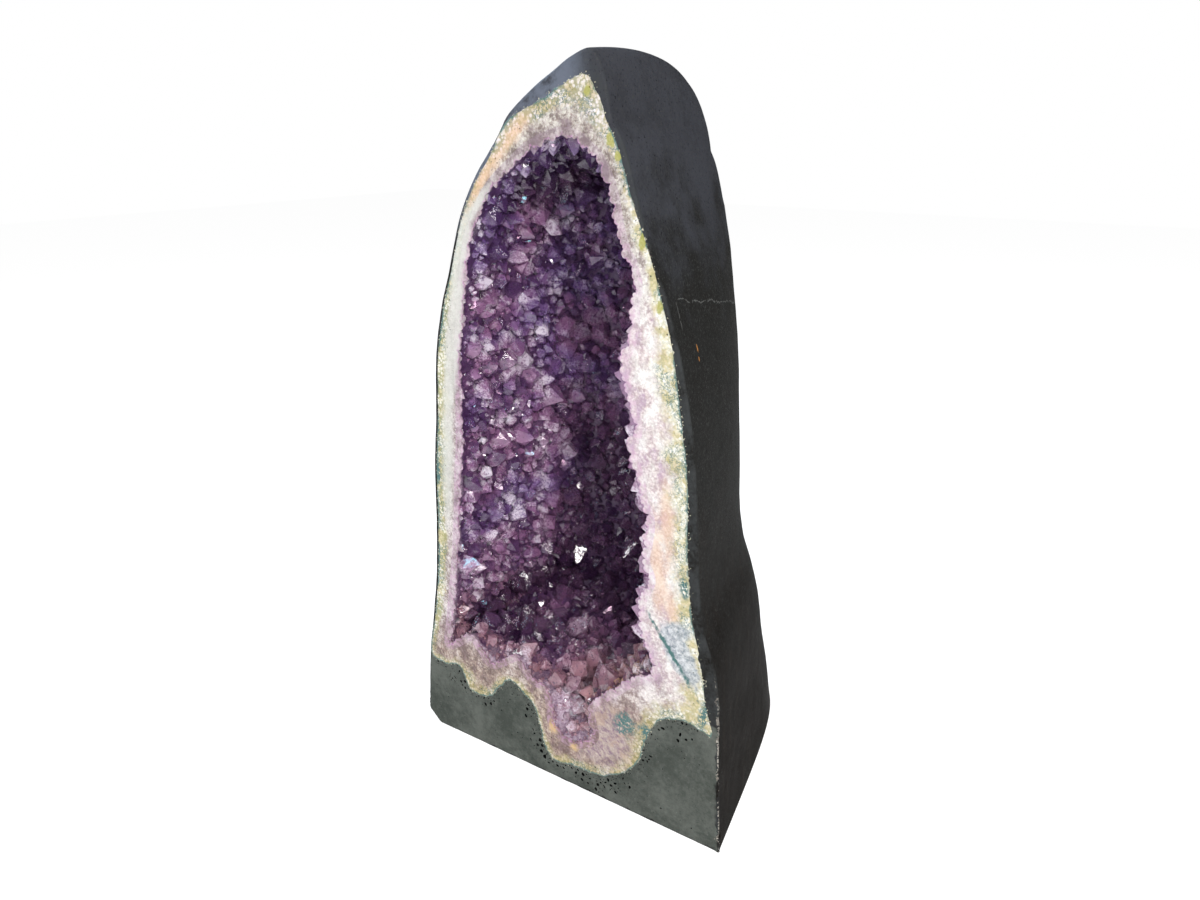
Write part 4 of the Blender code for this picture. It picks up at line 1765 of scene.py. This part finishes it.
    def add_sides(self, shell: Shell, front: Array, bottom: Array, radii: Array) -> None:
        """Add the sides and back from the front's edge to the deepest line, and the flat foot.

        Args:
            shell: The rock's points and faces.
            front: The numbers of the face line's points.
            bottom: The numbers of the points between the line's two ends.
            radii: The worn edge's radius at each point of the face line.
        """
        rows = [front]
        for share in self.shares()[1:]:
            ring = self.ring(self.rim.face, float(share), radii)
            low = np.clip(self.arris - ring[:, 2], 0, self.arris)
            inset = self.arris - np.sqrt(self.arris**2 - low**2)
            ring[:, 0] -= np.sign(ring[:, 0]) * np.minimum(inset, np.abs(ring[:, 0]))
            rows.append(shell.add(ring, dressed=1.0))
        shell.join(rows, closed=False)
        right_foot, left_foot = [row[0] for row in rows], [row[-1] for row in rows]
        shell.faces.append(tuple(right_foot + left_foot[::-1] + list(bottom)))


@dataclass
class AgateRind:
    """The banded wall set in the rock, which shows as the polished rim."""

    rim: Rim
    finish: AgateFinish
    depth: float = 0.168
    taper: float = 0.26
    gap: float = 0.0003
    inner_depth: float = 0.151
    inner_taper: float = 0.21
    spacing: float = 0.0026
    relief: float = 0.00022
    holes: int = 420
    seed: int = 21

    def pits(self) -> list[Pit]:
        """Scatter the small holes where the moss has weathered out of the polished rim.

        Returns:
            The holes that have room.
        """
        chance = random.Random(self.seed)
        contact, crust_line = self.rim.contact, self.rim.crust_line
        inward = -outward_normals(contact)
        wanted = []
        for _ in range(self.holes):
            index = chance.randrange(len(contact))
            spot = contact[index] + inward[index] * (0.0012 + 0.012 * chance.random() ** 1.6)
            wanted.append((*spot, 0.00035 + 0.0006 * chance.random() ** 2))

        def allowed(points: Array) -> Array:
            """Measure the room round each place on the rim.

            Args:
                points: The places.

            Returns:
                How far each is from a line, or a negative number off the rim.
            """
            lines = np.vstack([with_middles(contact), with_middles(crust_line)])
            on_rim = inside(points, contact) & ~inside(points, crust_line)
            return np.where(on_rim, distances_to(points, lines), -1)

        return scattered_pits(wanted, allowed, self.seed)

    def build(self) -> Piece:
        """Make the rind.

        Returns:
            The dressed piece.
        """
        contact, crust_line = self.rim.contact, self.rim.crust_line
        pits = self.pits()
        rings = [ring for pit in pits for ring in pit.rings]
        middles = np.array([pit.place for pit in pits])
        flat, faces = Sheet(contact, crust_line, self.spacing, self.seed, rings, [middles]).filled()
        edges = len(contact) + len(crust_line)
        depth = self.relief * (0.5 + front_noise(flat, 0.009, self.seed))
        depth[:edges] = 0
        hole = np.zeros(len(flat))
        start = sink_pits(pits, edges, depth, hole)
        depth[start: start + len(pits)] = [pit.radius for pit in pits]
        hole[start: start + len(pits)] = 1
        from_rock, from_hollow = distances_to(flat, contact), distances_to(flat, self.rim.mouth)
        shell = Shell()
        front = shell.add_front((flat, faces), depth, pit=hole, from_rock=from_rock, from_hollow=from_hollow)
        outer, inner = front[: len(contact)], front[len(contact): edges]
        behind = {"from_rock": 0.01, "from_hollow": 0.01}
        Hollow(depth=self.depth - self.gap, taper=self.taper).close(shell, outer, contact, **behind)
        Hollow(depth=self.inner_depth, taper=self.inner_taper).close(shell, inner, crust_line, **behind)
        piece = shell.finished("agate_rim")
        dress(piece, self.finish.material())
        hand_over(piece, Slot.AGATE, "agate_rind")
        return piece


@dataclass(frozen=True)
class Growth:
    """One generation of crystals: their spacing and sizes in metres, and how wildly they lean."""

    name: str
    spacing: float
    smallest: float
    largest: float
    lean: float
    sink: float
    seed: int
    edge_only: float = 0.0

    def inputs(self) -> dict[str, float]:
        """The growth tree's inputs by name."""
        return {
            "Spacing": self.spacing, "Smallest": self.smallest, "Largest": self.largest,
            "Lean": self.lean, "Sink": self.sink, "Seed": self.seed, "Edge Only": self.edge_only,
        }


@dataclass
class AmethystCrust:
    """The quartz crust that lines the hollow, and the points that have grown on it."""

    rim: Rim
    hollow: Hollow
    finish: AmethystFinish
    agate: AgateFinish
    rings: int = 46
    kinds: int = 12
    seed: int = 11
    back: float = 0.151
    spacing: float = 0.0024
    generations: tuple[Growth, ...] = (
        Growth("amethyst_points", 0.0150, 0.012, 0.025, 0.50, 0.0008, 4),
        Growth("amethyst_cluster", 0.0086, 0.0070, 0.0142, 0.60, 0.0004, 9),
        Growth("amethyst_druse", 0.0054, 0.0034, 0.0066, 0.70, 0.0002, 15),
        Growth("amethyst_edge", 0.0085, 0.010, 0.018, 0.60, 0.0010, 23, edge_only=1.0),
    )

    def build_crust(self) -> Piece:
        """Make the crust under the points: its sawn edge, its lumpy wall and its closed back.

        Returns:
            The dressed piece.
        """
        rim, hollow = self.rim, self.hollow
        shell = Shell()
        flat, faces = Sheet(rim.crust_line, rim.teeth, self.spacing, self.seed).filled()
        inward = np.clip(1 - distances_to(flat, rim.teeth) / rim.crust_edge, 0, 1)
        front = shell.add_front((flat, faces), 0.0, sawn=1.0, lip=1.0, inward=inward)
        edge, lip = np.split(front[: len(rim.crust_line) + len(rim.teeth)], [len(rim.crust_line)])
        wall = hollow.wall(rim.mouth, self.rings)
        wall[1] = (wall[1] * 2 + behind_front(rim.teeth, 0.003)) / 3
        shell.join([lip, *(shell.add(ring, **hollow.zones(ring)) for ring in wall[1:])])
        Hollow(depth=self.back, taper=hollow.taper).close(shell, edge, rim.crust_line)
        piece = shell.finished("amethyst_wall")
        dress(piece, self.finish.crust(self.agate))
        hand_over(piece, Slot.AMETHYST, "amethyst_crust")
        return piece

    def seat(self) -> Piece:
        """Make the surface that the points are seeded on.

        Returns:
            The surface, whose faces look into the hollow. It goes once the points have grown.
        """
        shell = Shell()
        wall = self.hollow.wall(self.rim.mouth[::2], self.rings)
        shell.join([shell.add(ring, **self.hollow.zones(ring)) for ring in wall])
        piece = shell.finished("seat")
        bm = bmesh.new()
        bm.from_mesh(piece.data)
        bm.normal_update()
        middle = Vector((self.hollow.spine_x, FRONT_Y + 0.03, MIDDLE_HEIGHT))
        towards = sum((middle - face.calc_center_median()).dot(face.normal) for face in bm.faces)
        if towards < 0:
            bmesh.ops.reverse_faces(bm, faces=bm.faces)
        bm.to_mesh(piece.data)
        bm.free()
        return piece

    def crystal(self, chance: random.Random) -> bpy.types.Mesh:
        """One quartz point of unit width: a six-sided prism under three large and three small faces.

        Args:
            chance: What its proportions are drawn from.

        Returns:
            The closed mesh, with its growth from root to tip as a value.
        """
        root, tip = -0.45, chance.uniform(0.55, 0.85)
        bm = bmesh.new()
        bmesh.ops.create_cube(bm, size=3)
        lean = math.radians(51.8)
        planes = [(Vector((0, 0, -1)), -root)]
        turn = chance.uniform(0, math.tau)
        for side in range(6):
            angle = turn + side * math.tau / 6
            across = Vector((math.cos(angle), math.sin(angle), 0))
            planes.append((across, 0.5 * chance.uniform(0.80, 1.05)))
            small = chance.uniform(1.04, 1.22) if side % 2 else chance.uniform(0.94, 1.04)
            slope = across * math.sin(lean) + Vector((0, 0, math.cos(lean)))
            planes.append((slope, tip * math.cos(lean) * small))
        for facing, distance in planes:
            cut = bmesh.ops.bisect_plane(
                bm, geom=bm.verts[:] + bm.edges[:] + bm.faces[:], plane_co=facing * distance,
                plane_no=facing, clear_outer=True,
            )
            rim_edges = [item for item in cut["geom_cut"] if isinstance(item, bmesh.types.BMEdge)]
            if rim_edges:
                bmesh.ops.contextual_create(bm, geom=rim_edges)
        bmesh.ops.remove_doubles(bm, verts=bm.verts, dist=0.004)
        bmesh.ops.recalc_face_normals(bm, faces=bm.faces)
        bmesh.ops.triangulate(bm, faces=bm.faces)
        mesh = bpy.data.meshes.new("crystal")
        bm.to_mesh(mesh)
        bm.free()
        heights = np.array([vert.co.z for vert in mesh.vertices])
        growth = mesh.attributes.new("growth", "FLOAT", "POINT")
        growth.data.foreach_set("value", (heights - root) / (heights.max() - root))
        return mesh

    def kinds_of_crystal(self) -> bpy.types.Collection:
        """Make the crystals to pick from.

        Returns:
            Their collection, left out of the scene.
        """
        chance = random.Random(self.seed)
        kinds = bpy.data.collections.new("crystal kinds")
        for _ in range(self.kinds):
            kinds.objects.link(bpy.data.objects.new("crystal kind", self.crystal(chance)))
        return kinds

    def grow(
        self, growth: Growth, seat: Piece, kinds: bpy.types.Collection, material: Material
    ) -> Piece:
        """Grow one generation of points on the seat and keep them as a plain mesh.

        Args:
            growth: The generation.
            seat: The surface to seed.
            kinds: The crystals to pick from.
            material: Their finish.

        Returns:
            The dressed piece.
        """
        tree = CrystalGrowth(len(kinds.objects)).tree
        modifier = seat.modifiers.new("growth", "NODES")
        modifier.node_group = tree
        values = {"Kinds": kinds, "Finish": material, **growth.inputs()}
        for socket in tree.interface.items_tree:
            if socket.in_out == "INPUT" and socket.name in values:
                modifier[socket.identifier] = values[socket.name]
        graph = bpy.context.evaluated_depsgraph_get()
        mesh = bpy.data.meshes.new_from_object(seat.evaluated_get(graph), depsgraph=graph)
        seat.modifiers.remove(modifier)
        mesh.name = growth.name
        piece = in_scene(growth.name, mesh)
        LOG.info("%s: %d faces", growth.name, len(mesh.polygons))
        hand_over(piece, Slot.AMETHYST, "amethyst_crust")
        return piece

    def build_points(self) -> list[Piece]:
        """Grow the points in generations, the largest first.

        Returns:
            The dressed pieces, one for each generation.
        """
        seat = self.seat()
        kinds = self.kinds_of_crystal()
        material = self.finish.clear(self.agate)
        pieces = [self.grow(growth, seat, kinds, material) for growth in self.generations]
        bpy.data.objects.remove(seat)
        for kind in list(kinds.objects):
            bpy.data.objects.remove(kind)
        bpy.data.collections.remove(kinds)
        return pieces


class CrystalGrowth:
    """The Geometry Nodes that seed a wall with crystals, turn, size and saw them off at the front."""

    INPUTS = (
        ("Geometry", "NodeSocketGeometry"), ("Kinds", "NodeSocketCollection"),
        ("Finish", "NodeSocketMaterial"), ("Spacing", "NodeSocketFloat"),
        ("Smallest", "NodeSocketFloat"), ("Largest", "NodeSocketFloat"), ("Lean", "NodeSocketFloat"),
        ("Sink", "NodeSocketFloat"), ("Seed", "NodeSocketInt"), ("Edge Only", "NodeSocketFloat"),
    )

    SEATS_WANTED = 90000.0

    def __init__(self, kinds: int) -> None:
        """Build the tree.

        Args:
            kinds: How many kinds of crystal there are to pick from.
        """
        self.tree = bpy.data.node_groups.new("crystal growth", "GeometryNodeTree")
        for name, kind in self.INPUTS:
            self.tree.interface.new_socket(name, in_out="INPUT", socket_type=kind)
        self.tree.interface.new_socket("Geometry", in_out="OUTPUT", socket_type="NodeSocketGeometry")
        recipe = self.recipe = Recipe(self.tree)
        self.given = recipe.node("NodeGroupInput")
        sawn = self.sawn(self.placed(self.seeded(), kinds))
        flat = recipe.node("GeometryNodeSetShadeSmooth", sockets={"Geometry": sawn, "Shade Smooth": False})
        dressed = recipe.node(
            "GeometryNodeSetMaterial", sockets={"Geometry": flat.outputs[0], "Material": self.asked("Finish")}
        )
        recipe.node("NodeGroupOutput", sockets={0: dressed.outputs[0]})

    def asked(self, name: str) -> Value:
        """An input of the whole tree."""
        return Value(self.recipe, self.given.outputs[name])

    def carried(self, name: str) -> Value:
        """A value that the seat's points carry."""
        made = self.recipe.node("GeometryNodeInputNamedAttribute", {"data_type": "FLOAT"}, {"Name": name})
        return self.recipe.value(made, "Attribute")

    def combined(self, x: Number | Socket = 0.0, y: Number = 0.0, z: Number | Socket = 0.0) -> Socket:
        """Three numbers as a vector."""
        return self.recipe.node("ShaderNodeCombineXYZ", sockets={"X": x, "Y": y, "Z": z}).outputs[0]

    def turned(self, rotation: Socket, by: Socket) -> Socket:
        """A rotation turned further about its own axes."""
        sockets = {"Rotation": rotation, "Rotate By": by}
        return self.recipe.node("FunctionNodeRotateRotation", {"rotation_space": "LOCAL"}, sockets).outputs[0]

    def drawn(self, low: float, high: float, seed: int) -> Value:
        """A random number for each point.

        Args:
            low: The least it can be.
            high: The most it can be.
            seed: The draw's own seed.

        Returns:
            The number.
        """
        sockets = {"Min_001": low, "Max_001": high, "Seed": self.asked("Seed") + seed * 17}
        made = self.recipe.node("FunctionNodeRandomValue", {"data_type": "FLOAT"}, sockets)
        return self.recipe.value(made, "Value_001")

    def seeded(self) -> bpy.types.Node:
        """Seed the wall with seats at least a spacing apart.

        Returns:
            The node that gives them, each with its own tint.
        """
        recipe = self.recipe
        off_edge = recipe.maths("LESS_THAN", self.carried("jagged"), 0.5)
        sockets = {
            "Mesh": self.asked("Geometry"), "Distance Min": self.asked("Spacing"),
            "Density Max": self.SEATS_WANTED, "Seed": self.asked("Seed"),
            "Density Factor": 1 - off_edge * self.asked("Edge Only"),
        }
        spread = recipe.node("GeometryNodeDistributePointsOnFaces", {"distribute_method": "POISSON"}, sockets)
        self.aim = spread.outputs["Rotation"]
        self.normal = spread.outputs["Normal"]
        return recipe.node(
            "GeometryNodeStoreNamedAttribute", {"data_type": "FLOAT", "domain": "POINT"},
            {"Geometry": spread.outputs["Points"], "Name": "tint", "Value": self.drawn(0.0, 1.0, 1)},
        )

    def placed(self, points: bpy.types.Node, kinds: int) -> Socket:
        """Stand a crystal on each seat, turned and leaning its own way, most of them small.

        Args:
            points: The node that gives the seats.
            kinds: How many kinds of crystal there are.

        Returns:
            The crystals as one mesh.
        """
        recipe = self.recipe
        lean = self.asked("Lean")
        tilt = self.combined(self.drawn(-1, 1, 2) * lean, self.drawn(-1, 1, 3) * lean)
        aim = self.turned(self.turned(self.aim, tilt), self.combined(z=self.drawn(0, math.tau, 4)))
        small, large = self.asked("Smallest"), self.asked("Largest")
        size = small + (large - small) * self.drawn(0, 1, 5) ** 2.2
        size = size * (1 - 0.62 * self.carried("stunted"))
        scale = self.combined(size, size, size * self.drawn(0.85, 1.3, 6))
        which = recipe.maths("FLOOR", self.drawn(0, kinds - 0.001, 7))
        picked = recipe.node(
            "GeometryNodeCollectionInfo",
            sockets={"Collection": self.asked("Kinds"), "Separate Children": True, "Reset Children": True},
        )
        lowered = recipe.scaled(self.normal, 0 - self.asked("Sink"))
        sunk = recipe.node(
            "GeometryNodeSetPosition", sockets={"Geometry": points.outputs[0], "Offset": lowered}
        )
        stood = recipe.node(
            "GeometryNodeInstanceOnPoints",
            sockets={
                "Points": sunk.outputs[0], "Instance": picked.outputs[0], "Pick Instance": True,
                "Instance Index": which, "Rotation": aim, "Scale": scale,
            },
        )
        return recipe.node("GeometryNodeRealizeInstances", sockets={0: stood.outputs[0]}).outputs[0]

    def sawn(self, grown: Socket) -> Socket:
        """Cut off what reaches past the sawn front just behind it, each crystal at its own depth.

        Args:
            grown: The crystals.

        Returns:
            The sawn crystals.
        """
        recipe = self.recipe
        here = recipe.value(recipe.node("GeometryNodeInputPosition"))
        parts = recipe.node("ShaderNodeSeparateXYZ", sockets={0: here})
        limit = FRONT_Y + 0.00015 + 0.0012 * self.carried("tint")
        depth = recipe.maths("MAXIMUM", recipe.value(parts, "Y"), limit)
        cut = self.combined(parts.outputs["X"], depth, parts.outputs["Z"])
        sockets = {"Geometry": grown, "Position": cut}
        return recipe.node("GeometryNodeSetPosition", sockets=sockets).outputs[0]


@dataclass
class Studio:
    """A pale floor, soft light and the camera, which looks down on the geode from its front right."""

    eye: Triple = (0.437, -0.721, 0.610)
    azimuth: float = 33.796
    pitch: float = 20.0
    lens: float = 27.0
    sensor: float = 36.0
    floor_size: float = 12.0
    fill: float = 0.12
    lamps: int = 34
    lamp_arc: tuple[float, float] = (-55, 75)
    lamp_distance: float = 1.6
    lamp_size: float = 0.09
    lamp_power: float = 0.50
    lamp_tints: tuple[Colour, ...] = (
        (1.0, 1.0, 1.0), (0.35, 0.85, 1.0), (1.0, 0.97, 0.92), (1.0, 0.62, 0.80),
    )

    def add_camera(self) -> None:
        """Set the camera up. It has no roll and no shift."""
        turn, down = math.radians(self.azimuth), math.radians(self.pitch)
        ahead = Vector((-math.sin(turn) * math.cos(down), math.cos(turn) * math.cos(down), -math.sin(down)))
        right = Vector((math.cos(turn), math.sin(turn), 0))
        up = right.cross(ahead)
        camera = in_scene("camera", bpy.data.cameras.new("camera"))
        camera.data.lens = self.lens
        camera.data.sensor_width = self.sensor
        pose = Matrix((right, up, -ahead)).transposed().to_4x4()
        pose.translation = self.eye
        camera.matrix_world = pose
        bpy.context.scene.camera = camera

    def add_light(self, name: str, place: Triple, size: float, power: float, colour: Colour) -> None:
        """Add a square soft light that shines on the geode.

        Args:
            name: Its name.
            place: Where it hangs.
            size: Its side in metres.
            power: Its power in watts.
            colour: Its colour.
        """
        light = bpy.data.lights.new(name, "AREA")
        light.size = size
        light.energy = power
        light.color = colour
        lamp = in_scene(name, light)
        lamp.location = place
        aim = Vector((0, 0, MIDDLE_HEIGHT)) - Vector(place)
        lamp.rotation_euler = aim.to_track_quat("-Z", "Y").to_euler()

    def add_glints(self) -> None:
        """Hang small bright lamps on a wide arc in front, whose reflections are the glints."""
        away = self.lamp_distance
        for index in range(self.lamps):
            turn = math.radians(blend(*self.lamp_arc, index / (self.lamps - 1)))
            height = 0.55 + 0.75 * (index * 0.618 % 1)
            place = (away * math.sin(turn), -away * math.cos(turn), height)
            tint = self.lamp_tints[index % len(self.lamp_tints)]
            self.add_light(f"glint {index + 1}", place, self.lamp_size, self.lamp_power, tint)

    def add_floor(self) -> None:
        """Lay the plain floor that the geode stands on."""
        bm = bmesh.new()
        bmesh.ops.create_grid(bm, x_segments=1, y_segments=1, size=self.floor_size / 2)
        mesh = bpy.data.meshes.new("floor")
        bm.to_mesh(mesh)
        bm.free()
        material, recipe = new_recipe("floor")
        shader = {"Base Color": (0.30, 0.30, 0.30), "Roughness": 0.9, "Specular IOR Level": 0.1}
        shader |= {"Emission Color": (1.0, 1.0, 1.0), "Emission Strength": 0.94}
        recipe.finish(shader)
        mesh.materials.append(material)
        floor = in_scene("floor", mesh)

    def add_world(self) -> None:
        """Even light from all round, and a white backdrop behind the geode."""
        world = bpy.data.worlds.new("studio")
        world.use_nodes = True
        recipe = Recipe(world.node_tree)
        seen = recipe.value(recipe.node("ShaderNodeLightPath"), "Is Camera Ray")
        sockets = {"Color": (1.0, 1.0, 1.0), "Strength": self.fill + seen * (1 - self.fill)}
        backdrop = recipe.node("ShaderNodeBackground", sockets=sockets)
        recipe.node("ShaderNodeOutputWorld", sockets={"Surface": backdrop.outputs[0]})
        bpy.context.scene.world = world

    def build(self) -> None:
        """Set up the whole studio."""
        self.add_camera()
        self.add_floor()
        self.add_light("overhead", (0.2, -0.5, 2.6), 2.4, 36.0, (0.97, 0.98, 1.0))
        self.add_light("key", (1.45, -1.25, 1.5), 0.45, 25.0, (1.0, 0.97, 0.93))
        self.add_light("window", (-1.2, 0.7, 1.3), 0.8, 22.0, (0.70, 0.85, 1.0))
        self.add_glints()
        self.add_world()
        bpy.context.scene.view_settings.view_transform = "Standard"


def main() -> None:
    """Build the studio and the geode's pieces in order."""
    logging.basicConfig(level=logging.INFO, format="%(name)s: %(message)s")
    Studio().build()
    rim, agate = Rim(), AgateFinish()
    BasaltBody(rim, BasaltFinish()).build()
    AgateRind(rim, agate).build()
    crust = AmethystCrust(rim, Hollow(), AmethystFinish(), agate)
    crust.build_crust()
    crust.build_points()


if __name__ == "__main__":
    main()
